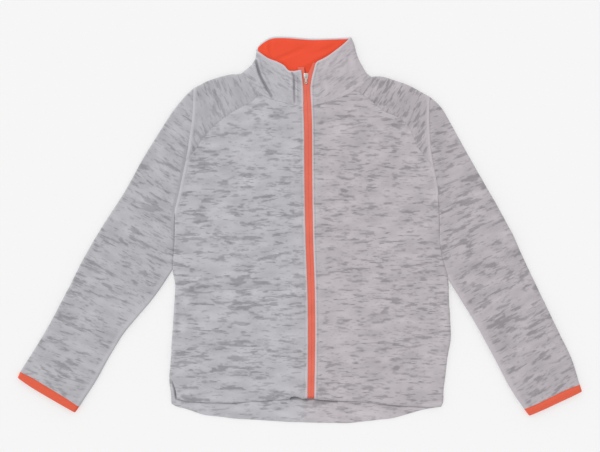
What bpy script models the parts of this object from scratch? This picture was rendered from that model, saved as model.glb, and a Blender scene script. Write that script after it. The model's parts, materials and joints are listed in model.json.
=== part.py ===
"""A fleece zip jacket laid flat on its back, zipped up, with its sleeves out to the sides.

Axes: +X towards the wearer's left sleeve, +Y from the hem to the collar, +Z up from the surface.
The origin is on the surface, under the middle of the whole jacket. Places in plan are given from the
foot of the zip. Right and left are the wearer's. Every cloth piece lies as an upper layer, a lower
layer, or both joined round a fold, and is a wall of the cloth's thickness under the lay's surface.
"""

import collections
import math

import bmesh
import bpy
import numpy as np

# Cloth and lay, in metres.
FLEECE = 0.0020
COLLAR_LINING = 0.0015
ZIP_TAPE = 0.0010
SEAM_GAP = 0.0003
LAY_GAP = 0.0004
COLLAR_GAP = 0.0007
TUCK_GAP = 0.0012
BODY_RISE = 0.0074
NECK_RISE = 0.0100
HEM_RISE = 0.0062
FOLD_SPREAD = 1.4

# Where the rise changes, from the foot of the zip.
NECK_RISE_FROM, NECK_RISE_TO = 0.42, 0.54
NECK_HALF, NECK_FADE = 0.135, 0.21
HEM_RISE_DEEP = 0.06
HEM_LIFT_HALF, HEM_LIFT_FADE = 0.03, 0.09
BODY_HALF = 0.28

# The zip.
ZIP_FOOT = (0.0205, -0.3096)
ZIP_SHOWS = 0.0127
TAPE_WIDTH = 0.0123
SLIDER_PLACE = (-0.0091, 0.5920)
SLIDER_LENGTH, SLIDER_WIDTH = 0.0110, 0.0086
SLIDER_TOP, SLIDER_BASE = 0.0013, 0.0009
POST_LENGTH, POST_WIDTH = 0.0024, 0.0016
BAIL_LENGTH, BAIL_WIDTH, BAIL_BAR, BAIL_INSIDE = 0.0064, 0.0015, 0.0009, 0.0020
TAB_LENGTH, TAB_WIDTH, TAB_THICK = 0.0165, 0.0050, 0.0012
TAB_EYE_LENGTH, TAB_EYE_WIDTH = 0.0048, 0.0025
TAB_CROSSBAR = 0.0012
TAB_WAIST_IN, TAB_WAIST_RUN = 0.0006, 0.0020
TAB_ROUND_STEPS = range(0, -181, -30)
METAL_EASE, BOX_EASE = 0.0003, 0.0004
POST_INSET = 0.0002
BOX_LENGTH, BOX_WIDTH, BOX_THICK = 0.0090, 0.0080, 0.0017

# How finely the cloth is divided.
FOLD_ANGLES = (0, 30, 60, 90)
NECK_STEPS, YOKE_STEPS, BACK_NECK_STEPS = 3, 7, 5
BODY_ROWS, SLEEVE_ROWS, COLLAR_ROWS, TAPE_ROWS = 12, 16, 4, 24
YOKE_COLUMNS = (0, 1 / 3, 2 / 3)

# A short step along a folded edge, as a share of it, to find which way it runs.
EDGE_STEP = 0.01

# Where an edge made of two curves changes over, as a share of its length.
PATCH_NECK = 0.36
PATCH_VENT = 1 / 12
PATCH_PIT = 0.75
SLEEVE_NOTCH = 0.5
SIDE_ROWS = round((PATCH_PIT - PATCH_VENT) * BODY_ROWS)
SIDE_OPENS_FROM, SIDE_OPENS_TO = 0.73, 0.80

# The sleeve starts this share of the tuck's gap away from the side and is all of it away further down.
TUCK_START = 0.4
TUCK_WHOLE = 0.10
SLEEVE_LEAN = 0.6

GREY = ("grey_fleece", (0.46, 0.45, 0.48), 0.95, 0.0)
ORANGE = ("orange_fleece", (0.85, 0.10, 0.04), 0.92, 0.0)
BINDING = ("orange_binding", (0.80, 0.13, 0.07), 0.85, 0.0)
ZIP = ("orange_zip", (0.74, 0.13, 0.08), 0.60, 0.0)
PLASTIC = ("orange_plastic", (0.72, 0.12, 0.07), 0.40, 0.0)
METAL = ("zip_metal", (0.62, 0.60, 0.58), 0.32, 1.0)

# The middle of the zip from the hem up to the slider, and the inner edges of its tapes above it.
ZIP_LINE = (
    (-0.0002, -0.0010), (0.0013, 0.107), (0.0004, 0.195), (-0.0028, 0.291),
    (-0.0046, 0.401), (-0.0053, 0.500), (-0.0078, 0.560), (-0.0088, 0.5835),
)
TAPE_ENDS = {
    "right": ((-0.0109, 0.5920), (-0.0118, 0.6010), (-0.0126, 0.6090)),
    "left": ((-0.0073, 0.5920), (-0.0042, 0.6000), (0.0003, 0.6090), (0.0036, 0.6170)),
}

# Outlines of each half. Each runs from its first to its last named place.
OUTLINES = {
    "right": {
        "front_hem, zip to side": (
            (-0.0065, -0.0009), (-0.0386, -0.0009), (-0.0681, -0.0042), (-0.1124, -0.0074),
            (-0.1610, -0.0090), (-0.2265, -0.0063), (-0.2490, -0.0018),
        ),
        "front_vent, hem to side": (
            (-0.2490, -0.0018), (-0.2512, 0.0110), (-0.2537, 0.0190), (-0.2575, 0.0310),
            (-0.2612, 0.0400),
        ),
        "back_vent, hem to side": (
            (-0.2572, -0.0110), (-0.2582, 0.0040), (-0.2606, 0.0200), (-0.2612, 0.0400),
        ),
        "side, vent to armpit": (
            (-0.2612, 0.0400), (-0.2573, 0.0764), (-0.2561, 0.1067), (-0.2513, 0.1803),
            (-0.2503, 0.2094), (-0.2547, 0.2374), (-0.2518, 0.2900), (-0.2510, 0.3444),
        ),
        "armhole, armpit to shoulder": (
            (-0.2510, 0.3444), (-0.2431, 0.3766), (-0.2360, 0.4100), (-0.2285, 0.4460),
            (-0.2235, 0.4800), (-0.2193, 0.5100), (-0.2173, 0.5450), (-0.2165, 0.5700),
        ),
        "neck, zip to shoulder": (
            (-0.0140, 0.5350), (-0.0478, 0.5428), (-0.0828, 0.5538), (-0.1086, 0.5722),
            (-0.1288, 0.5970),
        ),
        "yoke_seam, inner points": (
            (-0.1086, 0.5465), (-0.1409, 0.5280), (-0.1656, 0.5115), (-0.1822, 0.4972),
            (-0.1987, 0.4788), (-0.2120, 0.4580),
        ),
        "back_yoke_seam, inner points": (
            (-0.1086, 0.5560), (-0.1409, 0.5310), (-0.1656, 0.5115), (-0.1822, 0.4972),
            (-0.1987, 0.4788), (-0.2120, 0.4580),
        ),
        "shoulder, neck to armhole": (
            (-0.1288, 0.5970), (-0.1371, 0.5957), (-0.1452, 0.5958), (-0.1656, 0.5914),
            (-0.1899, 0.5832), (-0.2165, 0.5700),
        ),
        "sleeve_outer, shoulder to cuff": (
            (-0.2165, 0.5700), (-0.2337, 0.5532), (-0.2537, 0.5286), (-0.2737, 0.4975),
            (-0.3069, 0.4448), (-0.3427, 0.3803), (-0.3863, 0.3123), (-0.4187, 0.2567),
            (-0.4480, 0.1986), (-0.4885, 0.1234), (-0.5355, 0.0478),
        ),
        "sleeve_inner, notch to cuff": (
            (-0.2547, 0.2374), (-0.2734, 0.2073), (-0.2940, 0.1790), (-0.3165, 0.1526),
            (-0.3432, 0.1205), (-0.3708, 0.0764), (-0.3953, 0.0322), (-0.4265, -0.0160),
        ),
        "cuff, inner to outer": (
            (-0.4265, -0.0160), (-0.4555, 0.0026), (-0.4810, 0.0182), (-0.5090, 0.0346),
            (-0.5355, 0.0478),
        ),
        "cuff_end, inner to outer": (
            (-0.4345, -0.0270), (-0.4615, -0.0118), (-0.4900, 0.0048), (-0.5175, 0.0214),
            (-0.5400, 0.0372),
        ),
        "collar_edge, seam to top": ((-0.0140, 0.5350), (-0.0144, 0.5690), (-0.0175, 0.6035)),
        "collar_top, zip to fold": (
            (-0.0175, 0.6035), (-0.0399, 0.6022), (-0.0486, 0.6111), (-0.0609, 0.6181),
            (-0.0786, 0.6250), (-0.1005, 0.6400),
        ),
        "collar_fold, seam to top": (
            (-0.1288, 0.5970), (-0.1180, 0.6058), (-0.1084, 0.6144), (-0.1018, 0.6267),
            (-0.1005, 0.6400),
        ),
    },
    "left": {
        "front_hem, zip to side": (
            (0.0062, -0.0009), (0.0456, -0.0050), (0.0876, -0.0070), (0.1233, -0.0110),
            (0.1794, -0.0149), (0.2112, -0.0158), (0.2388, -0.0146),
        ),
        "front_vent, hem to side": (
            (0.2388, -0.0146), (0.2424, -0.0070), (0.2438, 0.0150), (0.2477, 0.0400),
        ),
        "back_vent, hem to side": (
            (0.2388, -0.0150), (0.2424, -0.0070), (0.2438, 0.0150), (0.2477, 0.0400),
        ),
        "side, vent to armpit": (
            (0.2477, 0.0400), (0.2518, 0.0760), (0.2569, 0.1067), (0.2562, 0.1446),
            (0.2539, 0.1803), (0.2524, 0.2199), (0.2429, 0.2567), (0.2379, 0.2880),
            (0.2368, 0.3332), (0.2353, 0.3663),
        ),
        "armhole, armpit to shoulder": (
            (0.2353, 0.3663), (0.2327, 0.3908), (0.2272, 0.4190), (0.2222, 0.4460),
            (0.2190, 0.4800), (0.2178, 0.5100), (0.2180, 0.5340), (0.2190, 0.5544),
        ),
        "neck, zip to shoulder": (
            (0.0005, 0.5370), (0.0276, 0.5437), (0.0626, 0.5560), (0.0880, 0.5710),
            (0.1104, 0.5915),
        ),
        "yoke_seam, inner points": (
            (0.1189, 0.5402), (0.1351, 0.5270), (0.1557, 0.5185), (0.1761, 0.5034),
            (0.1858, 0.4870), (0.1965, 0.4620),
        ),
        "back_yoke_seam, inner points": (
            (0.1060, 0.5580), (0.1351, 0.5330), (0.1557, 0.5185), (0.1761, 0.5034),
            (0.1858, 0.4870), (0.1965, 0.4620),
        ),
        "shoulder, neck to armhole": (
            (0.1104, 0.5915), (0.1306, 0.5914), (0.1555, 0.5842), (0.1799, 0.5752),
            (0.2190, 0.5544),
        ),
        "sleeve_outer, shoulder to cuff": (
            (0.2190, 0.5544), (0.2332, 0.5421), (0.2425, 0.5312), (0.2530, 0.5131),
            (0.2777, 0.4684), (0.3106, 0.4098), (0.3610, 0.3205), (0.4048, 0.2281),
            (0.4312, 0.1730), (0.4552, 0.1225), (0.4784, 0.0760), (0.4950, 0.0245),
        ),
        "sleeve_inner, notch to cuff": (
            (0.2524, 0.2199), (0.2769, 0.1794), (0.3008, 0.1408), (0.3328, 0.0826),
            (0.3666, 0.0185), (0.3925, -0.0205),
        ),
        "cuff, inner to outer": (
            (0.3925, -0.0205), (0.4168, -0.0104), (0.4321, -0.0034), (0.4567, 0.0088),
            (0.4797, 0.0190), (0.4950, 0.0245),
        ),
        "cuff_end, inner to outer": (
            (0.4020, -0.0328), (0.4310, -0.0204), (0.4560, -0.0086), (0.4790, 0.0020),
            (0.4990, 0.0120),
        ),
        "collar_edge, seam to top": (
            (0.0005, 0.5370), (-0.0010, 0.5690), (0.0006, 0.5850), (0.0042, 0.6004),
            (0.0092, 0.6181),
        ),
        "collar_top, zip to fold": (
            (0.0092, 0.6181), (0.0270, 0.6269), (0.0447, 0.6392), (0.0622, 0.6532),
            (0.0738, 0.6642),
        ),
        "collar_fold, seam to top": (
            (0.1104, 0.5915), (0.1020, 0.5987), (0.0960, 0.6083), (0.0892, 0.6208),
            (0.0842, 0.6335), (0.0795, 0.6513), (0.0738, 0.6642),
        ),
    },
}

# Across the back, from the right to the left.
BACK_HEM = (
    (-0.2572, -0.0110), (-0.2474, -0.0165), (-0.2328, -0.0199), (-0.1968, -0.0316),
    (-0.1731, -0.0342), (-0.1481, -0.0376), (-0.0850, -0.0418), (-0.0217, -0.0452),
    (0.0350, -0.0464), (0.0700, -0.0468), (0.0894, -0.0447), (0.1202, -0.0410),
    (0.1490, -0.0377), (0.1790, -0.0298), (0.2084, -0.0216), (0.2388, -0.0150),
)
BACK_NECK = (
    (-0.1288, 0.5970), (-0.0950, 0.5945), (-0.0400, 0.5910), (0.0000, 0.5900),
    (0.0500, 0.5905), (0.0850, 0.5920), (0.1104, 0.5915),
)
BACK_COLLAR_TOP = (
    (-0.1005, 0.6400), (-0.0970, 0.6482), (-0.0872, 0.6572), (-0.0738, 0.6642),
    (-0.0504, 0.6658), (0.0006, 0.6622), (0.0534, 0.6634), (0.0738, 0.6642),
)

# How far along each shared seam the yoke joins it.
YOKE_JOINS = {
    "right": {"neck": 0.62, "armhole": 0.41, "back_neck": 0.17},
    "left": {"neck": 0.70, "armhole": 0.31, "back_neck": 0.87},
}

# The inner collar starts past the tape's edge, at this share of the front neck.
COLLAR_LINING_START = 0.11

# How far the side edge turns at the hem: the right side has an open vent there.
HEM_FOLDS = {"right": 0.0, "left": 1.0}

# The largest soft folds of the upper layer. A negative height is a hollow.
Fold = collections.namedtuple("Fold", "name start end half_width height")
FOLDS = (
    Fold("collar crease", (-0.098, 0.618), (-0.074, 0.556), 0.010, -0.0010),
    Fold("collar ridge", (-0.080, 0.606), (-0.056, 0.560), 0.014, 0.0008),
    Fold("right front crease", (-0.230, 0.186), (-0.050, 0.199), 0.022, -0.0008),
    Fold("right front ridge", (-0.225, 0.222), (-0.120, 0.228), 0.024, 0.0006),
    Fold("left neck crease", (0.052, 0.566), (0.100, 0.540), 0.016, -0.0007),
    Fold("left front pucker", (0.120, 0.165), (0.150, 0.150), 0.018, -0.0006),
    Fold("right elbow", (-0.300, 0.215), (-0.400, 0.232), 0.026, -0.0007),
    Fold("left elbow", (0.300, 0.190), (0.390, 0.205), 0.026, -0.0007),
)


class Curve:
    """A smooth curve through a few places in plan, read by the share of its length."""

    STEPS = 24

    def __init__(self, places):
        ends = np.array(places, float)
        knots = np.vstack([2 * ends[0] - ends[1], ends, 2 * ends[-1] - ends[-2]])
        shares = np.arange(self.STEPS)[:, None] / self.STEPS
        spans = [self.span(knots[i : i + 4], shares) for i in range(len(ends) - 1)]
        self.points = np.vstack(spans + [ends[-1:]])
        steps = np.linalg.norm(np.diff(self.points, axis=0), axis=1)
        self.lengths = np.concatenate([[0], np.cumsum(steps)])

    @staticmethod
    def span(knots, t):
        """One centripetal Catmull-Rom span, between the two middle knots."""
        before, first, second, after = knots
        gaps = [math.sqrt(np.linalg.norm(b - a)) for a, b in zip(knots[:-1], knots[1:])]
        leave = (first - before) / gaps[0] - (second - before) / (gaps[0] + gaps[1])
        leave = (leave + (second - first) / gaps[1]) * gaps[1]
        arrive = (second - first) / gaps[1] - (after - first) / (gaps[1] + gaps[2])
        arrive = (arrive + (after - second) / gaps[2]) * gaps[1]
        cubic = 2 * first - 2 * second + leave + arrive
        square = -3 * first + 3 * second - 2 * leave - arrive
        return cubic * t**3 + square * t**2 + leave * t + first

    def __call__(self, share):
        reach = share * self.lengths[-1]
        return np.array([np.interp(reach, self.lengths, self.points[:, i]) for i in (0, 1)])

    def part(self, start, end):
        return lambda share: self(start + (end - start) * share)


def joined(first, second, at):
    """Two edges end to end, the first up to the given share."""
    return lambda share: first(share / at) if share <= at else second((share - at) / (1 - at))


def turned(edge):
    return lambda share: edge(1 - share)


def patch(start, end, near, far, lean=1.0):
    """The plan between four edges: start and end run along, near and far run across.

    A lean under 1 makes the plan follow its end edge more than its start edge.
    """
    corners = near(0), near(1), far(0), far(1)

    def plan(across, along):
        pull = across**lean
        sides = (1 - pull) * start(along) + pull * end(along)
        ends = (1 - along) * near(across) + along * far(across)
        near_line = (1 - pull) * corners[0] + pull * corners[1]
        far_line = (1 - pull) * corners[2] + pull * corners[3]
        return sides + ends - (1 - along) * near_line - along * far_line

    return plan


def other_way(plan):
    """The same plan with its across running back."""
    return lambda across, along: plan(1 - across, along)


def other_way_columns(columns):
    return [1 - column for column in reversed(columns)]


def straightened(curve, stops):
    """The straight lines between a curve's places at some shares of it."""
    places = np.array([curve(stop) for stop in stops])
    return lambda share: np.array([np.interp(share, stops, places[:, i]) for i in (0, 1)])


def ease(value, low, high):
    share = min(max((value - low) / (high - low), 0), 1)
    return share * share * (3 - 2 * share)


def fold_height(fold, place):
    """What one fold adds at a place: full along its middle, fading across it and to its ends."""
    start = np.array(fold.start)
    run = np.array(fold.end) - start
    share = float(np.dot(place - start, run) / np.dot(run, run))
    aside = np.linalg.norm(place - start - min(max(share, 0), 1) * run) / fold.half_width
    if aside >= 1:
        return 0.0
    return fold.height * (1 - aside**2) ** 2


def rise(place):
    """The height of the top of the lay above the surface."""
    x, y = place
    height = BODY_RISE
    at_neck = ease(y, NECK_RISE_FROM, NECK_RISE_TO) * (1 - ease(abs(x), NECK_HALF, NECK_FADE))
    height += (NECK_RISE - BODY_RISE) * at_neck
    if abs(x) < BODY_HALF:
        at_hem = (1 - ease(y, 0, HEM_RISE_DEEP)) * ease(abs(x), HEM_LIFT_HALF, HEM_LIFT_FADE)
        height += (HEM_RISE - BODY_RISE) * at_hem
    return height + sum(fold_height(fold, place) for fold in FOLDS)


class Lay:
    """A stretch of cloth in plan, in the upper (1) or the lower (-1) layer.

    A fold at its start or end is a function of the share along, giving how far the edge turns down
    to the middle of the lay. A seam there keeps the edge half a seam's gap from that middle.
    """

    def __init__(self, plan, layer, columns, start_fold=None, end_fold=None, seam=False):
        self.plan = plan
        self.layer = layer
        self.columns = columns
        self.start_fold = start_fold
        self.end_fold = end_fold
        self.keep = SEAM_GAP / 2 if seam else 0.0

    def turn(self, along, edge, reference, share):
        """Places, height shares and facings round one folded edge, from the edge inwards.

        The fold faces square to its edge, but along the seam where it ends in one.
        """
        outer = self.plan(edge, along)
        inwards = self.plan(reference, along) - outer
        inwards = inwards / np.linalg.norm(inwards)
        square = inwards
        if 0 < along < 1:
            ahead = self.plan(edge, along + EDGE_STEP) - self.plan(edge, along - EDGE_STEP)
            square = np.array((-ahead[1], ahead[0])) / np.linalg.norm(ahead)
            square *= math.copysign(1, np.dot(square, self.plan(0.5, 0.5) - outer))
        radius = rise(outer) / 2 * FOLD_SPREAD
        turns = []
        for angle in map(math.radians, FOLD_ANGLES):
            spot = outer + inwards * radius * (1 - math.cos(angle))
            aside = -square * share * math.cos(angle)
            upright = self.layer * (1 - share * (1 - math.sin(angle)))
            turns.append((spot, 1 - share * (1 - math.sin(angle)), (*aside, upright)))
        return turns

    def row(self, along):
        """The points of one row across, each with the way that it faces."""
        flat = (0, 0, self.layer)
        spots = [(self.plan(across, along), 1.0, flat) for across in self.columns]
        if self.start_fold:
            spots = self.turn(along, 0, self.columns[0], self.start_fold(along)) + spots
        if self.end_fold:
            spots += self.turn(along, 1, self.columns[-1], self.end_fold(along))[::-1]
        row = []
        for spot, share, facing in spots:
            middle = rise(spot) / 2
            height = middle + self.layer * (self.keep + (middle - self.keep) * share)
            row.append((spot[0] + ZIP_FOOT[0], spot[1] + ZIP_FOOT[1], height, *facing))
        return row


def whole_fold(_along):
    return 1.0


def material(finish):
    name, colour, roughness, metallic = finish
    made = bpy.data.materials.get(name)
    if made is None:
        made = bpy.data.materials.new(name)
        made.use_nodes = True
        shader = made.node_tree.nodes["Principled BSDF"]
        shader.inputs["Base Color"].default_value = (*colour, 1.0)
        shader.inputs["Roughness"].default_value = roughness
        shader.inputs["Metallic"].default_value = metallic
    return made


def place_mesh(name, mesh, finish, location=(0, 0, 0)):
    mesh.materials.append(material(finish))
    made = bpy.data.objects.new(name, mesh)
    made.location = location
    bpy.context.scene.collection.objects.link(made)
    return made


def surface(lays, alongs, closed):
    """The lay's surface as rows of points, and the unit normals there."""
    rows = []
    for along in alongs:
        row = []
        for lay in lays:
            points = lay.row(along)
            row += points[1:] if row and lay.start_fold else points
        rows.append(row[:-1] if closed else row)
    both = np.array(rows)
    points, normals = both[:, :, :3], both[:, :, 3:]
    return points, normals / np.linalg.norm(normals, axis=2, keepdims=True)


def draw_in(border, beside, closed, distance):
    """Moves a border over the surface towards the line beside it, square to the border."""
    if closed:
        tangent = np.roll(border, -1, axis=0) - np.roll(border, 1, axis=0)
    else:
        tangent = np.gradient(border, axis=0)
    tangent /= np.linalg.norm(tangent, axis=1, keepdims=True)
    inwards = beside - border
    inwards -= (inwards * tangent).sum(axis=1, keepdims=True) * tangent
    inwards[:, 2] = 0
    inwards /= np.linalg.norm(inwards, axis=1, keepdims=True)
    return border + inwards * distance


def wall_mesh(name, outer, inner, closed):
    """A closed wall between two grids of points, whose columns meet where it is closed."""
    rows, columns = outer.shape[:2]
    points = [tuple(point) for grid in (outer, inner) for row in grid for point in row]
    last = columns if closed else columns - 1

    def at(side, row, column):
        return side * rows * columns + row * columns + column % columns

    faces = []
    for row in range(rows - 1):
        for column in range(last):
            for side in (0, 1):
                ring = [(row, column), (row, column + 1), (row + 1, column + 1), (row + 1, column)]
                faces.append([at(side, *corner) for corner in ring])
    for column in range(last):
        for row in (0, rows - 1):
            pair = (row, column), (row, column + 1)
            faces.append([at(0, *pair[0]), at(0, *pair[1]), at(1, *pair[1]), at(1, *pair[0])])
    if not closed:
        for row in range(rows - 1):
            for column in (0, columns - 1):
                pair = (row, column), (row + 1, column)
                faces.append([at(0, *pair[0]), at(0, *pair[1]), at(1, *pair[1]), at(1, *pair[0])])
    mesh = bpy.data.meshes.new(name)
    mesh.from_pydata(points, [], faces)
    shaped = bmesh.new()
    shaped.from_mesh(mesh)
    bmesh.ops.recalc_face_normals(shaped, faces=shaped.faces)
    shaped.to_mesh(mesh)
    shaped.free()
    mesh.shade_smooth()
    mesh.set_sharp_from_angle(angle=math.radians(50))
    return mesh


def cloth(name, finish, lays, rows, closed=False, below=0.0, thick=FLEECE, gaps=(0, 0, 0, 0)):
    """One piece of cloth. Gaps are how far its near, far, start and end edges are drawn in."""
    alongs = np.linspace(0, 1, rows + 1) if isinstance(rows, int) else rows
    grid, normals = surface(lays, alongs, closed)
    near, far, start, end = gaps
    grid[0] = draw_in(grid[0], grid[1], closed, near)
    grid[-1] = draw_in(grid[-1], grid[-2], closed, far)
    if not closed:
        grid[:, 0] = draw_in(grid[:, 0], grid[:, 1], False, start)
        grid[:, -1] = draw_in(grid[:, -1], grid[:, -2], False, end)
    outer = grid - normals * below
    return place_mesh(name, wall_mesh(name, outer, outer - normals * thick, closed), finish)


class Half:
    """The named edges of one half of the jacket, worked out from its outlines."""

    def __init__(self, side):
        places = {name.split(",")[0]: rows for name, rows in OUTLINES[side].items()}
        self.side = side
        self.places = places
        self.joins = YOKE_JOINS[side]
        self.neck = Curve(places["neck"])
        self.armhole = Curve(places["armhole"])
        self.shoulder = Curve(places["shoulder"])
        armhole_join = tuple(self.armhole(self.joins["armhole"]))
        front_join = tuple(self.neck(self.joins["neck"]))
        back_join = tuple(Curve(BACK_NECK)(self.joins["back_neck"]))
        self.yoke_seam = Curve((front_join, *places["yoke_seam"], armhole_join))
        self.back_yoke_seam = Curve((back_join, *places["back_yoke_seam"], armhole_join))

    def side_fold(self, along):
        """How far the side edge turns: open in the vent and above the armpit."""
        at_hem = HEM_FOLDS[self.side]
        turned_over = at_hem + (1 - at_hem) * ease(along, 0, PATCH_VENT)
        return turned_over * (1 - ease(along, SIDE_OPENS_FROM, SIDE_OPENS_TO))

    def side_edge(self, vent):
        """The whole side of the front or the back: its vent, the side and the armhole to the yoke."""
        lower = joined(Curve(self.places[vent]), Curve(self.places["side"]), PATCH_VENT / PATCH_PIT)
        return joined(lower, self.armhole.part(0, self.joins["armhole"]), PATCH_PIT)


def even_steps(start, end, steps):
    """Shares from the start up to, but not at, the end."""
    return [start + (end - start) * step / steps for step in range(steps)]


def zip_edge(half, height):
    """The front's folded edge beside the zip, up to a height."""
    aside = ZIP_SHOWS / 2 if half.side == "left" else -ZIP_SHOWS / 2
    line = Curve([(x + aside, y) for x, y in ZIP_LINE])
    share = np.interp(height, line.points[:, 1], line.lengths / line.lengths[-1])
    return line.part(0, share)


def make_front(half):
    """A front: zip edge, neck, yoke seam, armhole, side and hem."""
    top = joined(half.neck.part(0, half.joins["neck"]), half.yoke_seam, PATCH_NECK)
    edge = zip_edge(half, half.neck(0)[1])
    hem = Curve((tuple(edge(0)), *half.places["front_hem"][1:]))

    def beside_zip(along):
        return edge(along) + (top(0) - edge(1)) * along

    plan = patch(beside_zip, half.side_edge("front_vent"), hem, top)
    columns = even_steps(0, PATCH_NECK, NECK_STEPS) + even_steps(PATCH_NECK, 1, YOKE_STEPS)
    lays = [Lay(plan, 1, columns, end_fold=half.side_fold, seam=True)]
    seam = SEAM_GAP / 2
    cloth(f"front_{half.side}", GREY, lays, BODY_ROWS, gaps=(0, seam, 0, seam))


def make_back(right, left):
    """The back, from the dropped tail to the back neck, with the side edges turned up."""
    neck = Curve(BACK_NECK)
    first, last = right.joins["back_neck"], left.joins["back_neck"]
    middle = joined(neck.part(first, last), left.back_yoke_seam, 0.5)
    top = joined(turned(right.back_yoke_seam), middle, 1 / 3)
    plan = patch(right.side_edge("back_vent"), left.side_edge("back_vent"), Curve(BACK_HEM), top)
    columns = even_steps(0, 1 / 3, YOKE_STEPS)[1:]
    columns += even_steps(1 / 3, 2 / 3, BACK_NECK_STEPS) + even_steps(2 / 3, 1, YOKE_STEPS)
    lay = Lay(plan, -1, columns, start_fold=right.side_fold, end_fold=left.side_fold, seam=True)
    seam = SEAM_GAP / 2
    cloth("back_panel", GREY, [lay], BODY_ROWS, gaps=(0, seam, seam, seam))


def make_yoke(half):
    """A shoulder yoke: one piece from its front seam over the shoulder fold to its back seam."""
    joins = half.joins
    shoulder_end = 0 if half.side == "right" else 1
    back_neck = Curve(BACK_NECK).part(joins["back_neck"], shoulder_end)
    armhole = half.armhole.part(joins["armhole"], 1)
    front = patch(half.yoke_seam, half.shoulder, half.neck.part(joins["neck"], 1), armhole)
    back = patch(half.back_yoke_seam, half.shoulder, back_neck, armhole)
    lays = [
        Lay(front, 1, YOKE_COLUMNS, end_fold=whole_fold),
        Lay(other_way(back), -1, other_way_columns(YOKE_COLUMNS), start_fold=whole_fold),
    ]
    seam = SEAM_GAP / 2
    cloth(f"yoke_{half.side}", GREY, lays, YOKE_STEPS, gaps=(seam, seam, seam, seam))


def tube_lays(plan, join):
    """The upper layer out and the lower layer back, joined round both folds.

    Its columns meet the rows of the front and the columns of the yoke at the armhole.
    """
    columns = [join * column for column in YOKE_COLUMNS[1:]]
    columns += [join + (1 - join) * column for column in YOKE_COLUMNS]
    folds = {"start_fold": whole_fold, "end_fold": whole_fold}
    return [
        Lay(plan, 1, columns, **folds),
        Lay(other_way(plan), -1, other_way_columns(columns), **folds),
    ]


def make_sleeve(half):
    """A sleeve, from the armhole to the cuff, tucked beside the body down to the notch."""
    places = half.places
    away = -1 if half.side == "right" else 1
    side = Curve(places["side"])
    notch = np.interp(places["sleeve_inner"][0][1], side.points[:, 1], side.lengths / side.lengths[-1])
    body_rows = [row / SIDE_ROWS for row in range(SIDE_ROWS + 1) if row / SIDE_ROWS > notch]
    beside = straightened(side, [notch, *body_rows])

    def tucked(along):
        gap = TUCK_GAP * (TUCK_START + (1 - TUCK_START) * ease(along, 0, TUCK_WHOLE))
        return beside(1 - (1 - notch) * along) + np.array((away * gap, 0))

    rows = [0.0]
    for row in [*reversed(body_rows[:-1]), notch]:
        stop = SLEEVE_NOTCH * (1 - row) / (1 - notch)
        rows += list(np.linspace(rows[-1], stop, round((stop - rows[-1]) * SLEEVE_ROWS) + 1))[1:]
    rows += list(np.linspace(SLEEVE_NOTCH, 1, round((1 - SLEEVE_NOTCH) * SLEEVE_ROWS) + 1))[1:]
    below_notch = Curve((tuple(tucked(1)), *places["sleeve_inner"][1:]))
    inner = joined(tucked, below_notch, SLEEVE_NOTCH)
    outer = Curve(places["sleeve_outer"])
    plan = patch(inner, outer, half.armhole, Curve(places["cuff"]), SLEEVE_LEAN)
    lays = tube_lays(plan, half.joins["armhole"])
    seam = SEAM_GAP / 2
    cloth(f"sleeve_{half.side}", GREY, lays, rows, closed=True, gaps=(seam, seam, 0, 0))


def make_cuff(half):
    """The binding round the end of a sleeve."""
    start, end = Curve(half.places["cuff"]), Curve(half.places["cuff_end"])

    def plan(across, along):
        return (1 - along) * start(across) + along * end(across)

    lays = tube_lays(plan, half.joins["armhole"])
    name = f"cuff_binding_{half.side}"
    cloth(name, BINDING, lays, 1, closed=True, gaps=(SEAM_GAP / 2, 0, 0, 0))


def collar_lays(right, left, start=0.0):
    """The stand collar as three stretches: right front, back and left front, joined at two folds.

    The start is the share of the front edge, from the zip, that a piece leaves out.
    """

    def front_plan(half):
        edge = Curve(half.places["collar_edge"])
        top = Curve(half.places["collar_top"])
        return patch(edge, Curve(half.places["collar_fold"]), half.neck, top)

    def front_columns(half):
        join = half.joins["neck"]
        columns = even_steps(0, join, NECK_STEPS)
        columns += [join + (1 - join) * column for column in YOKE_COLUMNS]
        return [max(column, start) for column in columns]

    right_plan, left_plan = front_plan(right), front_plan(left)
    folds = [Curve(half.places["collar_fold"]) for half in (right, left)]
    back_plan = patch(*folds, Curve(BACK_NECK), Curve(BACK_COLLAR_TOP))
    first, last = right.joins["back_neck"], left.joins["back_neck"]
    back = [first * (1 - column) for column in reversed(YOKE_COLUMNS)]
    back += [first + (last - first) * (step + 1) / BACK_NECK_STEPS for step in range(BACK_NECK_STEPS)]
    back += [last + (1 - last) * column for column in YOKE_COLUMNS[1:]]
    left_columns = other_way_columns(front_columns(left))
    return [
        Lay(right_plan, 1, front_columns(right), end_fold=whole_fold),
        Lay(back_plan, -1, back, start_fold=whole_fold, end_fold=whole_fold),
        Lay(other_way(left_plan), 1, left_columns, start_fold=whole_fold),
    ]


def make_collar(right, left):
    """The grey outer collar and the orange one inside it."""
    seam = SEAM_GAP / 2
    lays = collar_lays(right, left)
    cloth("collar_outer", GREY, lays, COLLAR_ROWS, gaps=(seam, 0, 0, 0))
    lining = collar_lays(right, left, start=COLLAR_LINING_START)
    below = FLEECE + COLLAR_GAP
    gaps = (seam, 0, 0, 0)
    cloth("collar_inner", ORANGE, lining, COLLAR_ROWS, below=below, thick=COLLAR_LINING, gaps=gaps)


def make_tape(side):
    """A zip tape, from the middle of the zip to under the front's edge."""
    away = -1 if side == "right" else 1
    clear = away * SEAM_GAP / 2
    inner = Curve([(x + clear, y) for x, y in ZIP_LINE] + list(TAPE_ENDS[side]))

    def plan(across, along):
        return inner(along) + np.array((away * across * TAPE_WIDTH, 0))

    lays = [Lay(plan, 1, (0, 0.5, 1))]
    below = FLEECE + LAY_GAP
    cloth(f"zip_tape_{side}", ZIP, lays, TAPE_ROWS, below=below, thick=ZIP_TAPE)


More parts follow.
